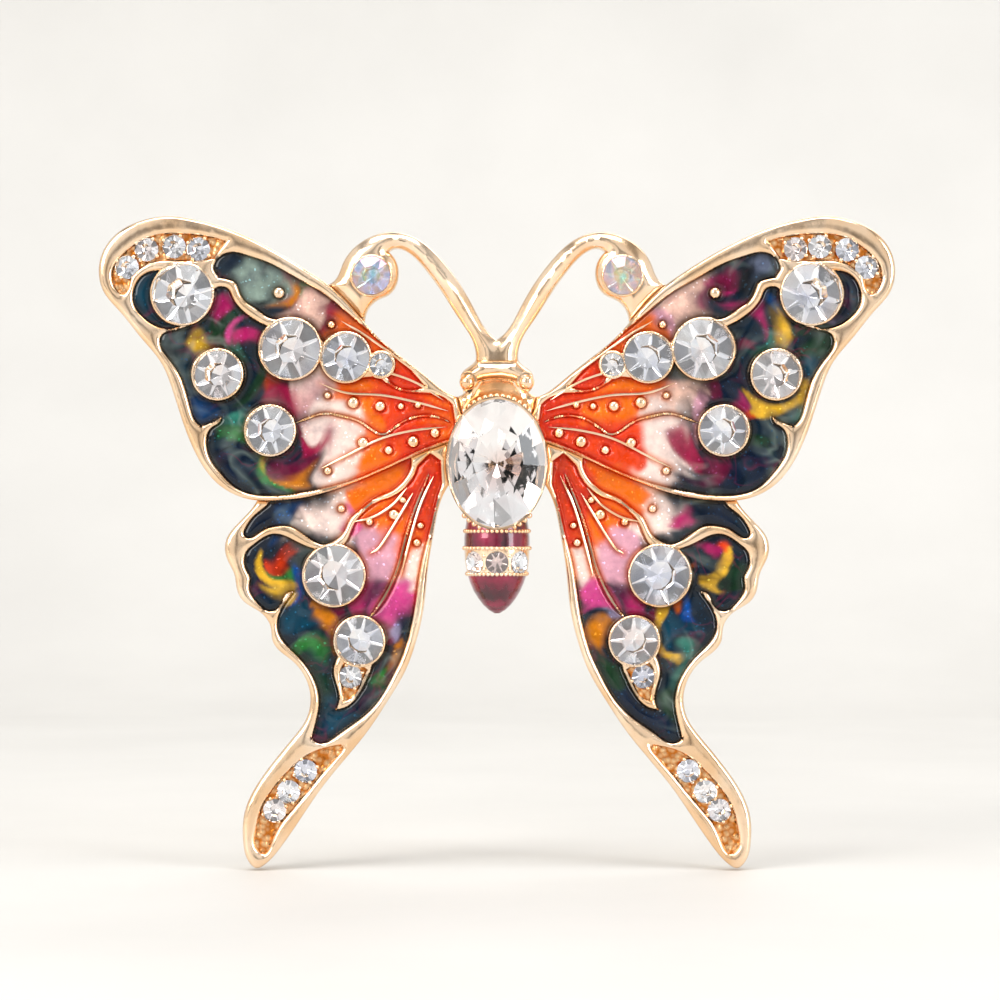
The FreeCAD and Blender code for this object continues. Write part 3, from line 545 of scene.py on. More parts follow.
def casting(name, node, rules, rough_level=None, seam=None):
    """A casting over a CAD node's flat levels. rules gives {depth: (reach, drop, shape)} for rounded tops.

    rough_level is the depth of a grained channel floor. seam says which border points meet another casting,
    where the top isn't rounded off.
    """
    front, back = regions(node, -1), regions(node, 1)
    levels = sorted(front, reverse=True)
    shaped = [d for d in levels if d in rules]
    step = 0.28 * FINE
    lines = split(np.unique(np.concatenate([front[d] for d in shaped]), axis=0), step)
    attached = {}
    for d in shaped:
        own = split(front[d], step)
        higher = [front[h] for h in shaped if h > d]
        if higher:
            own = own[distance(own.mean(1), np.concatenate(higher)) > 0.03]
        if seam:
            own = own[~seam(own.mean(1))]
        attached[d] = own

    def top_level(places):
        """The index of the front-most level that holds each place, or -1 outside the casting."""
        found = np.full(len(places), -1)
        for i in reversed(range(len(levels))):
            found[inside(places, front[levels[i]])] = i
        return found

    extra = []
    for d in shaped:
        i = levels.index(d)
        keep = lambda p, i=i: top_level(p) == i
        extra.append(rings_and_grid(split(front[d], step), lines, RINGS, 0.26 * FINE, keep))
    points, faces = triangles(np.concatenate(extra), lines)
    level_of = top_level(points[faces].mean(1))
    faces, level_of = faces[level_of >= 0], level_of[level_of >= 0]

    parts_points, parts_faces, which = [], [], []
    index = {}
    tops = {}
    for d in shaped:
        reach, drop, shape = rules[d]
        tops[d] = d - crown(distance(points, attached[d]), reach, drop, shape)
        if d == rough_level:
            lumps = np.array([noise.noise(Vector((x * 4.1, y * 4.1, d))) for x, y in points])
            tops[d] = tops[d] + 0.1 * np.maximum(lumps, -0.4)

    def corner(i, level):
        key = (int(i), level)
        if key not in index:
            index[key] = len(parts_points)
            d = levels[level]
            depth = tops[d][i] if d in tops else d
            parts_points.append((points[i][0], -depth, points[i][1]))
        return index[key]

    borders = {}
    for face, level in zip(faces.tolist(), level_of.tolist()):
        parts_faces.append([corner(i, level) for i in face])
        which.append(1 if levels[level] == rough_level else 0)
        for a, b in zip(face, face[1:] + face[:1]):
            borders.setdefault((min(a, b), max(a, b)), []).append((a, b, level))
    single = []
    for uses in borders.values():
        a, b, level = uses[0]
        if len(uses) == 1:
            single.append((a, b, level))
        elif uses[1][2] != level:
            other = uses[1][2]
            parts_faces.append([corner(b, level), corner(a, level), corner(a, other), corner(b, other)])
            which.append(0)
    ends = np.array([(points[a], points[b]) for a, b, level in single])
    along = ends[:, 1] - ends[:, 0]
    aside = 0.02 * np.stack([along[:, 1], -along[:, 0]], 1) / np.linalg.norm(along, axis=1)[:, None]
    free = (top_level(ends.mean(1) + aside) < 0) | (top_level(ends.mean(1) - aside) < 0)
    rim = [edge for edge, is_free in zip(single, free) if is_free]
    rim_lines = ends[free]
    back_points, back_faces, depth = back_surface(rim_lines, back)
    base = len(parts_points)
    parts_points += [(x, -d, z) for (x, z), d in zip(back_points, depth)]
    parts_faces += [[base + i for i in face[::-1]] for face in back_faces.tolist()]
    which += [2] * len(back_faces)
    at = {spot(p): base + i for i, p in enumerate(back_points)}
    for a, b, level in rim:
        ka, kb = spot(points[a]), spot(points[b])
        if ka in at and kb in at:
            parts_faces.append([corner(b, level), corner(a, level), at[ka], at[kb]])
            which.append(0)
    item = piece(name, parts_points, parts_faces, [GOLD, GRAINED, BACK_GOLD], which=which)
    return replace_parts(item, node)


# ---- Castings ----


# Rounded tops: how far from a free edge the rounding reaches, how far it drops there, and its shape.
BEZEL_TOP = (0.22, 0.12, "round")
BEAD_TOP = (0.5, 0.4, "round")
WALL_TOP = (0.34, 0.2, "barred")
CHANNEL_FLOOR = (0.1, 0.0, "round")
ARM_TOP = (1.0, 0.75, "ridge")
COLLAR_TOP = (1.3, 1.3, "round")
YOKE_TOP = (2.6, 1.3, "ridge")

# depths of the castings' front levels, and how the levels on them rise or drop
FORE_FRONT, HIND_FRONT, ARM_FRONT, COLLAR_FRONT, YOKE_FRONT = 7.8, 7.1, 7.7, 9.0, 8.2
BEZEL_RISE, BEAD_RISE, CHANNEL_DROP = 0.35, 0.1, 0.5


def antenna_seam(places):
    """Where an antenna meets the other one and the collar."""
    return (np.abs(places[:, 0]) < 0.02) | (places[:, 1] < 3.32)


def wing_castings():
    for word in SIDES:
        for wing, front in (("forewing", FORE_FRONT), ("hindwing", HIND_FRONT)):
            channel = round(front - CHANNEL_DROP, 2)
            rules = {
                round(front + BEZEL_RISE, 2): BEZEL_TOP,
                round(front + BEAD_RISE, 2): BEAD_TOP,
                front: WALL_TOP,
                channel: CHANNEL_FLOOR,
            }
            casting(f"{wing}_casting_{word}", f"{wing}_frame_{word}", rules, rough_level=channel)
        rules = {round(ARM_FRONT + BEZEL_RISE, 2): BEZEL_TOP, ARM_FRONT: ARM_TOP}
        casting(f"antenna_casting_{word}", f"antenna_{word}", rules, seam=antenna_seam)
    casting("collar_casting", "head_collar", {COLLAR_FRONT: COLLAR_TOP, YOKE_FRONT: YOKE_TOP})


# ---- Enamel ----

COLOURS = {
    "black": "07090e",
    "navy": "06182f",
    "teal": "053c50",
    "deep_blue": "083a6a",
    "bright_blue": "0a4fa0",
    "green_teal": "2f7a68",
    "grey_green": "82968a",
    "dark_green": "16361c",
    "green": "2f7a33",
    "slate": "5a6478",
    # this lavender is a painted reflection of a soft light in the glossy top
    "lavender_painted_reflection": "9a90b0",
    "yellow": "e0b02a",
    "amber": "cf7c08",
    "orange": "ee6e06",
    "red_orange": "e03c04",
    "rust": "9a3612",
    "magenta": "a5175a",
    "pink": "d4458a",
    "plum": "6a0c34",
    "crimson": "920f3c",
    "pink_beige": "eec3ae",
    "rose": "e0a4b4",
    "cream": "f5ddd0",
}

# Dabs and strokes of each colour: (out, up, radius), or (out, up, out, up, radius) for a stroke.
PAINT = {
    "left": {
        "black": [(19.6, 9.2, 0.5)],
        "navy": [
            (21.9, 11.5, 0.9), (26.2, 4.3, 1.6), (21.4, -6.1, 1.7), (19.0, -9.4, 1.3), (19.8, -13.9, 1.2),
            (10.6, -24.6, 1.2),
        ],
        "teal": [(28.9, 8.6, 2.2), (25.5, 1.9, 1.2), (16.6, -18.0, 1.4), (12.6, -26.4, 1.4)],
        "deep_blue": [(23.9, -0.6, 1.2), (17.0, -9.4, 0.9)],
        "bright_blue": [(16.8, -15.2, 0.8)],
        "green_teal": [(21.2, 5.4, 0.7), (21.9, -1.7, 1.0)],
        "grey_green": [(20.4, 10.6, 1.7), (18.4, 10.3, 1.2)],
        "dark_green": [(21.5, 6.2, 1.6), (20.7, 1.8, 1.2), (14.5, -24.2, 1.6)],
        "green": [
            (16.8, 8.4, 15.7, 8.6, 0.5), (22.3, -2.5, 17.2, -6.9, 0.55), (17.4, -13.9, 0.8),
            (15.4, -21.4, 0.8), (9.5, -22.5, 0.8),
        ],
        # painted reflection of a soft light in the glossy top
        "lavender_painted_reflection": [(8.7, -18.4, 0.6)],
        "yellow": [(23.4, 5.5, 0.8), (20.0, -4.4, 18.4, -5.8, 0.4), (18.6, -11.9, 17.9, -15.0, 0.5)],
        "amber": [(17.9, 8.8, 0.9), (16.6, -5.7, 0.9), (14.9, -16.9, 14.7, -19.9, 0.5), (8.8, -20.6, 0.9)],
        "orange": [
            (12.1, 6.2, 1.7), (10.0, 4.5, 2.0), (11.2, 0.4, 1.8), (10.2, -4.5, 1.7), (3.9, -1.6, 2.0),
            (9.9, -7.8, 1.7), (8.2, -10.6, 1.5),
        ],
        "red_orange": [
            (7.6, 2.5, 1.8), (8.4, 0.0, 1.7), (6.3, -2.0, 2.2), (16.4, -12.8, 0.8), (5.6, -8.6, 1.9),
        ],
        "rust": [(19.3, 1.0, 0.8)],
        "magenta": [(22.5, 8.3, 0.8), (19.9, 4.4, 1.0), (10.9, -15.9, 1.0)],
        "pink": [(20.2, 6.1, 0.6), (12.6, -9.9, 0.7), (7.7, -16.6, 1.1)],
        "plum": [(14.9, 8.9, 1.0), (17.0, -4.4, 1.1), (13.5, -17.4, 0.9)],
        "crimson": [
            (13.6, 6.5, 1.0), (18.2, 0.2, 14.9, 0.5, 1.0), (15.7, -2.1, 14.2, -3.7, 0.8), (9.3, -17.9, 0.8),
        ],
        "pink_beige": [(15.7, 7.6, 1.5)],
        "rose": [(10.1, -12.8, 1.5)],
        "cream": [
            (15.4, 2.2, 14.2, -0.9, 1.2), (13.5, -2.6, 12.8, -5.6, 1.4), (14.3, -9.8, 1.5),
            (6.7, -13.4, 1.2),
        ],
    },
    "right": {
        "black": [(20.1, 10.2, 1.3)],
        "navy": [
            (29.0, 8.6, 2.2), (19.9, 1.3, 0.9), (21.4, -6.5, 1.5), (18.3, -6.6, 0.9), (18.1, -9.4, 1.4),
            (17.5, -14.6, 0.6), (12.4, -26.2, 1.4), (10.8, -24.6, 1.2),
        ],
        "teal": [(25.6, 1.5, 1.0), (15.9, -18.6, 1.2)],
        "deep_blue": [(22.4, 7.9, 0.7)],
        "bright_blue": [(17.0, -17.4, 0.6)],
        "green_teal": [(21.6, 5.1, 0.9), (24.0, -1.3, 0.9), (14.9, -22.2, 1.2)],
        "dark_green": [
            (25.2, 6.3, 1.0), (26.7, 4.0, 1.3), (22.2, -4.4, 0.8), (19.9, -13.9, 0.8), (14.5, -24.6, 1.4),
            (9.6, -22.6, 0.8),
        ],
        "slate": [(21.6, 11.2, 1.2)],
        # painted reflection of a soft light in the glossy top
        "lavender_painted_reflection": [(27.6, 6.4, 0.7), (8.7, -18.2, 0.6)],
        "yellow": [
            (22.9, 6.4, 0.8), (21.9, -0.2, 24.4, -0.2, 0.6), (20.9, -3.4, 20.7, -5.2, 0.55),
            (18.1, -12.5, 18.9, -15.0, 0.5), (14.3, -17.0, 14.2, -20.3, 0.5),
        ],
        "amber": [(8.7, -20.3, 0.9)],
        "orange": [
            (11.7, 6.0, 1.7), (9.3, 4.3, 2.0), (12.6, 0.6, 1.2), (9.3, 0.0, 1.9), (10.1, -7.7, 1.8),
            (15.9, -16.2, 0.5), (8.3, -10.6, 1.5),
        ],
        "red_orange": [
            (7.4, 2.3, 1.8), (21.2, -0.9, 0.5), (5.2, -1.6, 2.2), (10.1, -4.1, 1.8), (17.6, -12.0, 0.5),
            (5.8, -8.6, 1.9),
        ],
        "magenta": [
            (18.0, 8.9, 0.9), (20.3, 7.0, 0.8), (20.7, -0.1, 0.5), (15.4, -9.8, 0.8), (16.5, -12.5, 0.7),
            (11.3, -16.4, 1.0),
        ],
        "pink": [(8.0, -16.6, 1.0)],
        "plum": [
            (18.3, 10.5, 0.7), (19.8, 4.0, 0.8), (18.0, 1.0, 0.9), (17.4, -4.6, 1.3), (13.4, -17.6, 0.8),
        ],
        "crimson": [(15.6, -2.9, 0.8)],
        "pink_beige": [(15.2, 8.4, 1.9), (15.3, 0.8, 1.3), (13.6, -0.6, 0.9)],
        "rose": [(13.3, 6.9, 0.9), (16.2, -0.6, 0.8), (10.2, -12.9, 1.5)],
        "cream": [(13.6, -2.4, 13.2, -5.6, 1.3), (13.5, -9.7, 1.4), (7.5, -13.6, 1.2)],
    },
}


# where the wet colours were drawn round with a needle: (out, up, reach, turn in radians)
SWIRLS = [
    (21.0, 4.2, 2.6, 1.5),
    (18.6, -4.6, 2.6, -1.4),
    (24.0, 1.0, 2.2, -1.2),
    (17.8, 9.4, 2.0, 1.2),
    (14.6, -2.2, 2.0, 1.2),
    (17.4, -14.2, 2.2, 1.4),
    (14.6, -20.6, 2.2, -1.3),
    (9.2, -18.6, 2.2, 1.3),
]

# the wings spring from here, and distances from here count heights by a share
WING_ROOT, HEIGHT_SHARE = (3.0, -4.0), 0.75
# the enamel is grainy up to a distance, fading over another, and a dark ground shows from a distance on
GRAIN_END, GRAIN_FADE = 13.5, 5.0
GROUND, GROUND_START, GROUND_FADE = "041c2c", 10.0, 6.0
# how quickly a dab's weight falls with distance, and how far the colours are stirred: (frequency, distance)
DAB_FALL = 2.4
STIRS = [(0.22, 1.3), (0.55, 1.0), (1.2, 0.4)]


def paint(points, word):
    """The colour, and how grainy the enamel is, at points of (out, up) on one wing."""
    root = np.hypot(points[:, 0] - WING_ROOT[0], (points[:, 1] - WING_ROOT[1]) * HEIGHT_SHARE)
    grainy = np.clip((GRAIN_END - root) / GRAIN_FADE, 0, 1)
    # the ground shows wherever no dab reaches
    total = 0.05 * np.clip((root - GROUND_START) / GROUND_FADE, 0.005, 1)
    colour = np.outer(total, linear(GROUND)[:3])
    moved = points.copy()
    for out, up, reach, turn in SWIRLS:
        from_eye = moved - (out, up)
        angle = turn * np.exp(-((np.linalg.norm(from_eye, axis=1) / reach) ** 2))
        x = from_eye[:, 0] * np.cos(angle) - from_eye[:, 1] * np.sin(angle)
        z = from_eye[:, 0] * np.sin(angle) + from_eye[:, 1] * np.cos(angle)
        moved = np.stack([x, z], 1) + (out, up)
    for scale, amount in STIRS:
        pushes = [noise.noise_vector(Vector((x * scale, z * scale, SIDES[word] * 3.0))) for x, z in moved]
        moved = moved + np.array([(v.y * amount, -v.x * amount) for v in pushes])
    for shade, dab in ((shade, dab) for shade, dabs in PAINT[word].items() for dab in dabs):
        start, end, radius = np.array(dab[:2]), np.array(dab[-3:-1]), dab[-1]
        along = end - start
        share = np.clip((moved - start) @ along / max(along @ along, 1e-9), 0, 1)
        away = np.linalg.norm(moved - start - share[:, None] * along, axis=1) / radius
        weight = np.exp(-DAB_FALL * away**2)
        total += weight
        colour += np.outer(weight, linear(COLOURS[shade])[:3])
    return colour / total[:, None], grainy


def vein_lines(veins):
    """Short lines along every vein, for measuring distances on a wing."""
    lines = []
    for vein in veins:
        marks = [np.array((p.x, p.y)) for p in curve_points([(*v, 0) for v in vein], 24)]
        lines += list(zip(marks, marks[1:]))
    return np.array(lines)


# The enamel's surface in mm: its dome, its fall at a wall and how far that reaches, the hollow along a vein
# and its width, slow swells, and the grit near the wing's root.
DOME_RISE, WALL_FALL, WALL_REACH = 0.03, 0.2, 0.8
VEIN_HOLLOW, HOLLOW_WIDTH = 0.07, 0.3
SWELL, GRIT = 0.11, 0.09
# painted shade at an edge: the colour darkens there, by less red than green and blue in the warm enamel,
# evenly elsewhere
WARM_PAINTED_SHADE = np.array([0.78, 0.28, 0.14])
COOL_PAINTED_SHADE = 0.25


def enamel(name, node, word):
    """Poured enamel in one wing: a domed, gently uneven surface that thins along the walls and is darkened
    there by painted shade.
    """
    side = SIDES[word]
    front = regions(node, -1)
    top = max(front)
    floor = min(regions(node, 1))
    step = 0.3 * FINE
    lines = split(front[top], step)
    keep = lambda p: inside(p, lines)
    extra = rings_and_grid(lines, lines, (0.07, 0.2, 0.38), 0.2 * FINE, keep)
    points, faces = triangles(extra, lines)
    faces = faces[inside(points[faces].mean(1), lines)]
    away = distance(points, lines)
    wing = points * (side, 1)
    colour, grainy = paint(wing, word)
    waves = np.array([noise.noise(Vector((x * 0.6, z * 0.6, 2.0))) for x, z in wing])
    lumps = np.array([noise.noise(Vector((x * 2.6, z * 2.6, 8.0))) for x, z in wing])
    veins = vein_lines(FORE_VEINS if "fore" in node else HIND_VEINS)
    near_vein = np.clip(distance(wing, veins) - VEIN_HALF, 0, 9)
    dome = DOME_RISE - crown(away, WALL_REACH, WALL_FALL)
    hollow = VEIN_HOLLOW * grainy * np.exp(-((np.minimum(away, near_vein) / HOLLOW_WIDTH) ** 2))
    swell = waves * SWELL * np.clip(away, 0, 1)
    grit = lumps * GRIT * grainy * np.clip(away * 2, 0, 1)
    depth = top + dome - hollow + swell + grit
    # painted shade: the colour darkens towards the walls, and in the grainy root enamel also beside the veins
    edge = np.clip(away / 0.7, 0, 1)[:, None]
    root_edge = np.clip(np.minimum(away, near_vein) / 0.42, 0, 1)[:, None]
    warm = grainy[:, None]
    cool_painted_shade = COOL_PAINTED_SHADE + (1 - COOL_PAINTED_SHADE) * edge
    warm_painted_shade = WARM_PAINTED_SHADE + (1 - WARM_PAINTED_SHADE) * root_edge
    colour = colour * (cool_painted_shade * (1 - warm) + warm_painted_shade * warm)
    all_points = [(x, -d, z) for (x, z), d in zip(points, depth)]
    all_faces = faces.tolist()
    used = {pair for face in all_faces for pair in zip(face, face[1:] + face[:1])}
    rim = [(a, b) for a, b in used if (b, a) not in used]
    base = len(all_points)
    below = {i: base + n for n, i in enumerate(sorted({i for pair in rim for i in pair}))}
    all_points += [(points[i][0], -floor, points[i][1]) for i in below]
    sides = [[b, a, below[a], below[b]] for a, b in rim]
    rim_lines = np.array([(points[a], points[b]) for a, b in rim])
    low_points, low_faces = triangles(np.zeros((0, 2)), rim_lines)
    low_faces = low_faces[inside(low_points[low_faces].mean(1), rim_lines)]
    at = {spot(points[i]): j for i, j in below.items()}
    bottom = []
    for face in low_faces.tolist():
        keys = [spot(low_points[i]) for i in face]
        if all(k in at for k in keys):
            bottom.append([at[k] for k in keys[::-1]])
    item = piece(name, all_points, all_faces + sides + bottom, [ENAMEL], sharp=60.0)
    painted = item.data.color_attributes.new("paint", "FLOAT_COLOR", "POINT")
    rgba = np.ones((len(all_points), 4), np.float32)
    rgba[: len(points), :3] = colour
    painted.data.foreach_set("color", rgba.ravel())
    grain = item.data.attributes.new("grain", "FLOAT", "POINT")
    grain.data.foreach_set("value", np.concatenate([grainy, np.zeros(len(all_points) - len(points))]))
    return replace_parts(item, node)


def wing_enamels():
    for word in SIDES:
        enamel(f"forewing_pour_{word}", f"forewing_enamel_{word}", word)
        enamel(f"hindwing_pour_{word}", f"hindwing_enamel_{word}", word)


# ---- Stones ----


# a stone's table, and a round stone's crown, back and unevenness, as shares of its half width
TABLE = 0.5
CROWN_RISE = 0.38
BACK_DEPTH = 0.84
UNEVEN = 0.05


def cut_stone(
    parts, centre, half_width, half_height, crown_rise, depth, turn=0.0, uneven=0.0, tilt=0.0, rich=False
):
    """A round or oval stone: table, crown, girdle, and 8 flat mirrored facets behind, or 16 on a rich cut.

    The crown is 8 flat facets, or 8 stars, 8 kites and 16 upper facets on a rich cut. tilt turns the stone
    about the upright axis, for stones set round the abdomen.
    """
    girdle = 0.03 * half_width

    def ring(count, share, y, shift=0.0, jitter=0.0, every_second=None):
        made = []
        for k in range(count):
            a = 2 * math.pi * (k + shift) / count + turn
            s = share * (1 + jitter * dice.uniform(-1, 1))
            level = every_second if every_second is not None and k % 2 else y
            made.append((half_width * s * math.cos(a), level, half_height * s * math.sin(a)))
        return made

    # the girdle is scalloped, which lets each facet that meets it be flat
    bow = math.cos(math.pi / 8)
    front_scallop = -girdle - (crown_rise - girdle) * (1 - bow) / (1 - TABLE * bow)
    back_scallop = girdle + (depth - girdle) * (1 - bow)
    points = ring(8, TABLE, -crown_rise, 0.5, uneven)
    points += ring(8, 0.8, -crown_rise * 0.56, 0.0, uneven * 0.6)
    points += ring(16, 1.0, -girdle, every_second=None if rich else front_scallop)
    points += ring(16, 1.0, girdle, every_second=None if rich else back_scallop)
    points.append((0.0, depth, 0.0))
    table_at, kite_at, top_at, low_at, point_at = 0, 8, 16, 32, 48
    faces, which = [[table_at + k for k in range(8)]], [0]
    for k in range(8):
        n = (k + 1) % 8
        p = (k - 1) % 8
        g, g_next, g_last = top_at + 2 * k, top_at + 2 * k + 1, top_at + (2 * k - 1) % 16
        if rich:
            faces.append([table_at + p, table_at + k, kite_at + k])
            faces.append([kite_at + k, table_at + k, kite_at + n, g_next])
            faces.append([kite_at + k, g_next, g])
            faces.append([kite_at + k, g, g_last])
        else:
            faces.append([table_at + p, table_at + k, g_next, g, g_last])
        b, b_next, b_last = low_at + 2 * k, low_at + 2 * k + 1, low_at + (2 * k - 1) % 16
        faces.append([g, g_next, b_next, b])
        faces.append([g_last, g, b, b_last])
        which += [0] * (len(faces) - len(which))
        faces += [[point_at, b_last, b], [point_at, b, b_next]] if rich else [[point_at, b_last, b, b_next]]
        which += [1] * (len(faces) - len(which))
    if not rich:
        used = sorted({i for face in faces for i in face})
        index = {i: n for n, i in enumerate(used)}
        points = [points[i] for i in used]
        faces = [[index[i] for i in face] for face in faces]
    twist = Matrix.Rotation(tilt, 3, "Z")
    points = [Vector(centre) + twist @ Vector(p) for p in points]
    parts.take(points, [face[::-1] for face in faces], which)


def stone_piece(name, node, places, materials):
    """Stones for one CAD node: places are (centre in mm, half width, tilt)."""
    parts = Parts()
    for centre, half, tilt in places:
        turn = dice.uniform(0, 0.8)
        cut_stone(parts, centre, half, half, half * CROWN_RISE, half * BACK_DEPTH, turn, UNEVEN, tilt)
    item = piece(name, parts.points, parts.faces, materials, which=parts.which, smooth=False)
    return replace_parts(item, node)


def solids(node):
    """The separate solids of a CAD node, as boxes (low, high) in mm."""
    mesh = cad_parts[node].data
    key = [tuple(round(c / MM, 3) for c in v.co) for v in mesh.vertices]
    parent = {k: k for k in key}

    def find(k):
        while parent[k] != k:
            parent[k] = parent[parent[k]]
            k = parent[k]
        return k

    for edge in mesh.edges:
        a, b = (find(key[i]) for i in edge.vertices)
        parent[a] = b
    groups = {}
    for k in parent:
        groups.setdefault(find(k), []).append(k)
    boxes = [(np.min(g, axis=0), np.max(g, axis=0)) for g in groups.values()]
    return sorted(boxes, key=lambda b: (b[0][0], b[0][2]))


# a round stone's girdle: how far it lies behind the stone's front as a share of its width, and how it is
# lifted and spread a little over the cup's edge, as shares of its half width
GIRDLE_SHARE = 0.18
STONE_LIFT = 0.12
STONE_SPREAD = 1.05


def flat_stones(name, node, materials):
    """Stones that face the front, one for each solid of the node."""
    places = []
    for low, high in solids(node):
        half = (high[0] - low[0]) / 2
        girdle = low[1] + 2 * half * GIRDLE_SHARE
        lift = half * STONE_LIFT
        places.append(((low[0] + half, girdle - lift, (low[2] + high[2]) / 2), half * STONE_SPREAD, 0.0))
    return stone_piece(name, node, places, materials)


# the abdomen's upright axis, and the stones of its band: distance from the axis, half width and turn
ABDOMEN_AXIS = 7.3
BAND_RADIUS = 2.55
BAND_STONE = 0.93
BAND_TURN = math.radians(47)

# the centre stone: its girdle's depth, its spread over the cup, and (crown, back, turn, unevenness)
CENTRE_GIRDLE = 9.82
CENTRE_SPREAD = 0.22
CENTRE_CUT = (1.02, 2.6, 0.35, 0.2)


def round_abdomen(radius, turn, height):
    return radius * math.sin(turn), -ABDOMEN_AXIS - radius * math.cos(turn), height


def stones():
    glass = [CRYSTAL, FOIL]
    for node in sorted(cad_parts):
        if "iris_crystal" in node:
            flat_stones(node.replace("crystal", "stone"), node, [IRIS, IRIS_FOIL])
        elif "_crystal" in node and node not in ("centre_crystal", "abdomen_crystals"):
            flat_stones(node.replace("crystal", "stone"), node, glass)
    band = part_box("abdomen_crystals")
    height = (band[0].z + band[1].z) / 2 / MM
    turns = (-BAND_TURN, 0.0, BAND_TURN)
    places = [(round_abdomen(BAND_RADIUS, a, height), BAND_STONE, a) for a in turns]
    stone_piece("abdomen_stones", "abdomen_crystals", places, glass)
    low, high = (Vector(c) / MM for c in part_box("centre_crystal"))
    parts = Parts()
    centre = ((low.x + high.x) / 2, -CENTRE_GIRDLE, (low.z + high.z) / 2)
    half_width = (high.x - low.x) / 2 + CENTRE_SPREAD
    half_height = (high.z - low.z) / 2 + CENTRE_SPREAD
    cut_stone(parts, centre, half_width, half_height, *CENTRE_CUT, rich=True)
    materials = [OVAL_CRYSTAL, OVAL_FOIL]
    item = piece(
        "centre_stone", parts.points, parts.faces, materials, which=parts.which, smooth=False
    )
    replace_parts(item, "centre_crystal")


# ---- Gold details ----


def curve_points(points, count):
    """A smooth line through a few points, sampled evenly in its parameter."""
    points = [Vector(p) for p in points]
    ends = [points[0] * 2 - points[1]] + points + [points[-1] * 2 - points[-2]]
    made = []
    for i in range(count):
        t = i / (count - 1) * (len(points) - 1)
        k = min(int(t), len(points) - 2)
        t -= k
        a, b, c, d = ends[k : k + 4]
        square = 2 * a - 5 * b + 4 * c - d
        cube = 3 * b - a - 3 * c + d
        made.append(0.5 * (2 * b + (c - a) * t + square * t**2 + cube * t**3))
    return made


# Fine veins in the enamel of the wing roots, beside those cut in the CAD: (out, up) points.
VEIN_HALF = 0.12
VEIN_SUNK = 0.2
GRAIN_SUNK = 0.3
FORE_VEINS = [
    [(4.4, 0.0), (6.6, 1.4), (8.8, 2.2), (9.9, 2.2)],
    [(4.0, -0.9), (6.5, -0.2), (9.4, 0.4), (12.4, 0.6), (14.6, 1.4)],
    [(4.2, -2.2), (6.9, -2.5), (9.6, -3.2), (12.4, -4.6), (14.4, -5.6)],
    [(5.2, 1.2), (8.0, 3.3), (10.8, 5.3), (12.8, 6.5)],
]
HIND_VEINS = [
    [(5.2, -6.2), (6.3, -8.6), (7.2, -11.6), (7.9, -14.4)],
    [(7.4, -7.2), (8.6, -8.6), (10.2, -9.6), (11.8, -10.0)],
    [(6.9, -7.6), (8.2, -9.8), (9.6, -12.0), (10.4, -12.6)],
]


# each wing's front, fine veins, nodes of small stones, and their grains' radius and first turn in degrees
GRAINED_WINGS = {
    "forewing": (FORE_FRONT, FORE_VEINS, ("pave_crystals",), 0.2, 59),
    "hindwing": (HIND_FRONT, HIND_VEINS, ("tail_crystals", "drop_crystal"), 0.19, 20),
}


def details():
    """Fine veins and grains that are fused to the castings."""
    for word, side in SIDES.items():
        for wing, (front, veins, stone_sets, radius, first) in GRAINED_WINGS.items():
            parts = Parts()
            for vein in veins:
                marks = curve_points([(*v, 0) for v in vein], 30)
                parts.ridge([(side * p.x, front - VEIN_SUNK, p.y) for p in marks], VEIN_HALF, VEIN_HALF)
            for stone_set in stone_sets:
                for low, high in solids(f"{wing}_{stone_set}_{word}"):
                    x, z = (low[0] + high[0]) / 2, (low[2] + high[2]) / 2
                    for k in range(4):
                        a = math.radians(first + 90 * k)
                        place = (x + math.cos(a), GRAIN_SUNK - front, z + math.sin(a))
                        parts.ball(place, radius, squash=1.1)
            piece(f"{wing}_grains_{word}", parts.points, parts.faces, [GOLD])


# height and radius of the rows of grains round the abdomen, and heights of the grains between its stones
GRAIN_ROWS = [(-10.75, 2.62), (-12.15, 2.68), (-14.25, 2.45)]
GRAINS_BETWEEN = (-12.75, -13.85)
# the grains round the centre stone: how far outside it, their depth, and the arc they fill above and below
GALLERY_OUT, GALLERY_DEPTH, GALLERY_ARC = 0.3, 9.45, 78


def gallery():
    """The scalloped border round the centre stone, and the grained edges of the abdomen's stone band."""
    low, high = (Vector(c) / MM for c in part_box("centre_crystal"))
    a, b = (high.x - low.x) / 2 + GALLERY_OUT, (high.z - low.z) / 2 + GALLERY_OUT
    centre = (low.z + high.z) / 2
    parts = Parts()
    for middle in (90, -90):
        for k in range(13):
            t = math.radians(middle + GALLERY_ARC * (k / 12 - 0.5))
            parts.ball((a * math.cos(t), -GALLERY_DEPTH, centre + b * math.sin(t)), 0.24)
    piece("thorax_gallery", parts.points, parts.faces, [GOLD])
    parts = Parts()
    for height, radius in GRAIN_ROWS:
        for k in range(21):
            t = math.radians(-86 + 172 * k / 20)
            parts.ball(round_abdomen(radius, t, height), 0.19)
    for t in (-BAND_TURN / 2, BAND_TURN / 2):
        for height in GRAINS_BETWEEN:
            parts.ball(round_abdomen(2.62, t, height), 0.17)
    piece("abdomen_grains", parts.points, parts.faces, [GOLD])
    parts = Parts()
    for side in (-1, 1):
        parts.ball((side * 2.42, -8.25, 1.45), 0.66, 10, 18)
        line = []
        for i in range(24):
            t = math.pi * (0.1 + 1.15 * i / 23)
            line.append((side * (2.35 + 0.62 * math.cos(t)), 8.6, 1.5 + 0.66 * math.sin(t)))
        parts.ridge(line, 0.2, 0.26, 10)
    piece("collar_curls", parts.points, parts.faces, [GOLD])


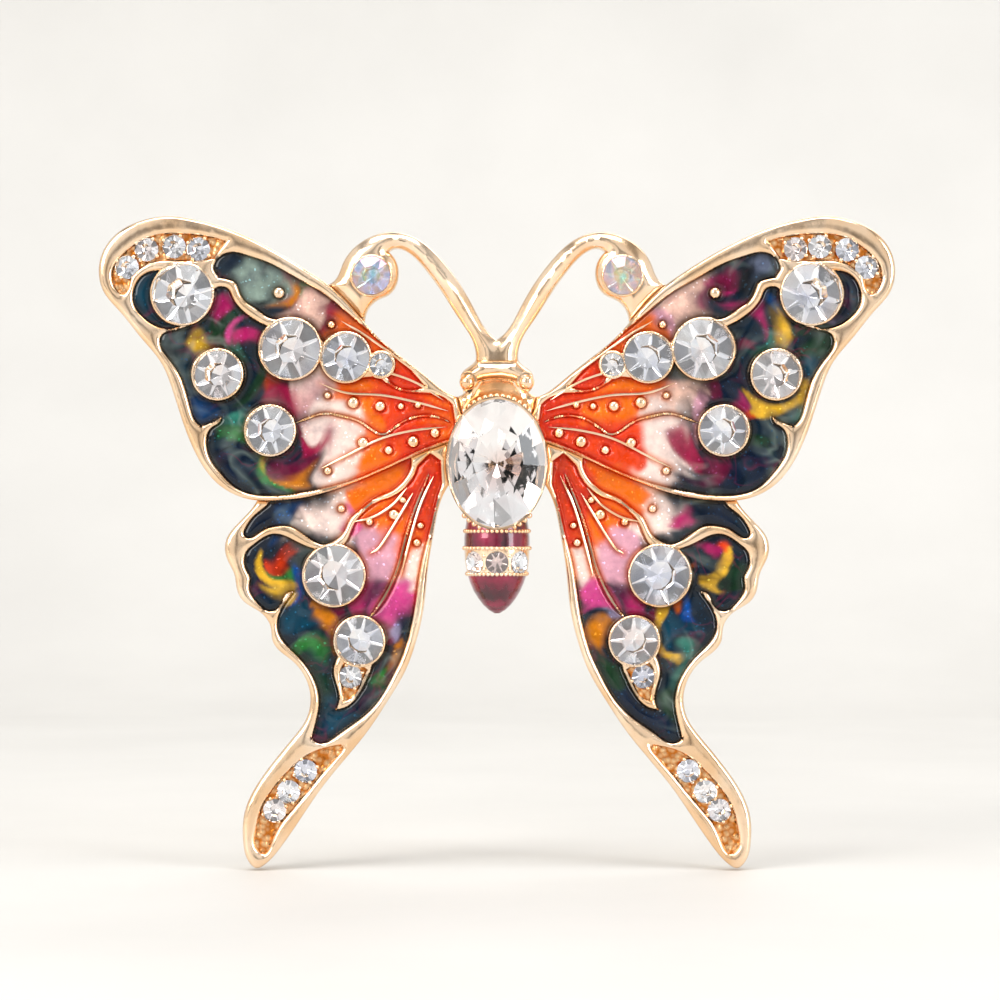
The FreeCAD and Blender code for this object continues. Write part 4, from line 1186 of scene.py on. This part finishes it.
def carried_over():
    """CAD nodes whose shape is already right: a rounded edge and a good metal."""
    finishes = {
        "thorax_cup": (GOLD, 0.08),
        "abdomen_shell": (GOLD, 0.06),
        "abdomen_enamel": (PLUM, 0.0),
        "hinge_bracket": (FINDING_GOLD, 0.12),
        "hinge_rivet": (FINDING_GOLD, 0.1),
        "catch_hook": (FINDING_GOLD, 0.1),
        "catch_lock": (FINDING_GOLD, 0.06),
        "pin_stem": (WIRE, 0.05),
    }
    for name, (material, round_edge) in finishes.items():
        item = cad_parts[name]
        item.data.materials.clear()
        item.data.materials.append(material)
        if round_edge:
            weld = item.modifiers.new("weld", "WELD")
            weld.merge_threshold = 0.002 * MM
            bevel = item.modifiers.new("rounded_edges", "BEVEL")
            bevel.width = round_edge * MM
            bevel.segments = 3
            bevel.limit_method = "ANGLE"
            bevel.angle_limit = math.radians(40)
            bevel.harden_normals = False


# ---- Studio ----


def studio():
    """A pale floor that sweeps up behind the brooch, soft lights, and the camera."""
    floor = cad_box[0].z - 0.0002
    profile = [(-0.2, 0.0)]
    bend, reach = 0.12, 0.2
    for t in np.linspace(0, math.pi / 2, 14):
        profile.append((reach + bend * math.sin(t), bend - bend * math.cos(t)))
    profile.append((reach + bend, 0.6))
    half = 0.6
    points = [(x, y, floor + z) for x in (-half, half) for y, z in profile]
    count = len(profile)
    faces = [[i, i + 1, count + i + 1, count + i] for i in range(count - 1)]
    mesh = bpy.data.meshes.new("paper_sweep")
    mesh.from_pydata(points, [], faces)
    mesh.shade_smooth()
    s = Shader("pale_paper")
    s.set(Roughness=0.55)
    tone = s.ramp(s.noise(30, 5), (0.3, "cfcdc9"), (0.7, "d5d3cf"))
    mesh.materials.append(s.finish(Base_Color=tone))
    sweep = in_scene("paper_sweep", mesh)

    def softbox(name, place, size, power, tint, aim=(0, 0, -0.01)):
        light = bpy.data.lights.new(name, "AREA")
        light.shape = "RECTANGLE"
        light.size, light.size_y = size
        light.energy = power
        light.color = tint
        item = in_scene(name, light)
        item.location = place
        item.rotation_euler = (Vector(aim) - Vector(place)).to_track_quat("-Z", "Y").to_euler()

    softbox("key_left", (-0.32, -0.34, 0.22), (0.22, 0.34), 1.5, (1.0, 0.97, 0.93))
    softbox("fill_right", (0.36, -0.3, 0.1), (0.14, 0.3), 0.9, (0.93, 0.96, 1.0))
    softbox("top", (0.0, -0.12, 0.42), (0.4, 0.16), 1.0, (1.0, 1.0, 1.0))
    softbox("behind", (0.1, 0.28, 0.3), (0.4, 0.2), 0.5, (1.0, 0.98, 0.95))
    world = bpy.data.worlds.new("studio")
    bpy.context.scene.world = world
    world.use_nodes = True
    sky = Nodes(world.node_tree)
    way = sky.add("ShaderNodeTexCoord").outputs["Generated"]
    axes = sky.add("ShaderNodeSeparateXYZ")
    sky.join(way, axes.inputs["Vector"])
    # the sky is a little darker straight in front of the brooch, and all round it has panels with dark gaps
    front = sky.span(axes.outputs["Y"], 0.65, 0.95, -0.995, -0.96, "SMOOTHSTEP")
    panels = sky.add("ShaderNodeTexWave", bands_direction="X")
    panels.inputs["Scale"].default_value = 0.55
    panels.inputs["Distortion"].default_value = 1.5
    sky.join(way, panels.inputs["Vector"])
    gaps = sky.span(panels.outputs["Fac"], 0.35, 1.0, 0.0, 0.4)
    background = sky.tree.nodes["Background"]
    sky.join(sky.product(front, gaps), background.inputs["Color"])
    background.inputs["Strength"].default_value = 0.95
    bpy.context.scene.view_settings.view_transform = "Standard"

    lens = bpy.data.cameras.new("camera")
    lens.lens = 120
    lens.sensor_width = 36
    camera = in_scene("camera", lens)
    wide = 0.082
    wing_front = -0.0078
    away = wide * lens.lens / lens.sensor_width
    camera.location = (0.00025, wing_front - away, -0.0082)
    camera.rotation_euler = (math.radians(90), 0, 0)
    lens.clip_start, lens.clip_end = 0.01, 10
    bpy.context.scene.camera = camera


wing_castings()
wing_enamels()
stones()
details()
gallery()
carried_over()
studio()
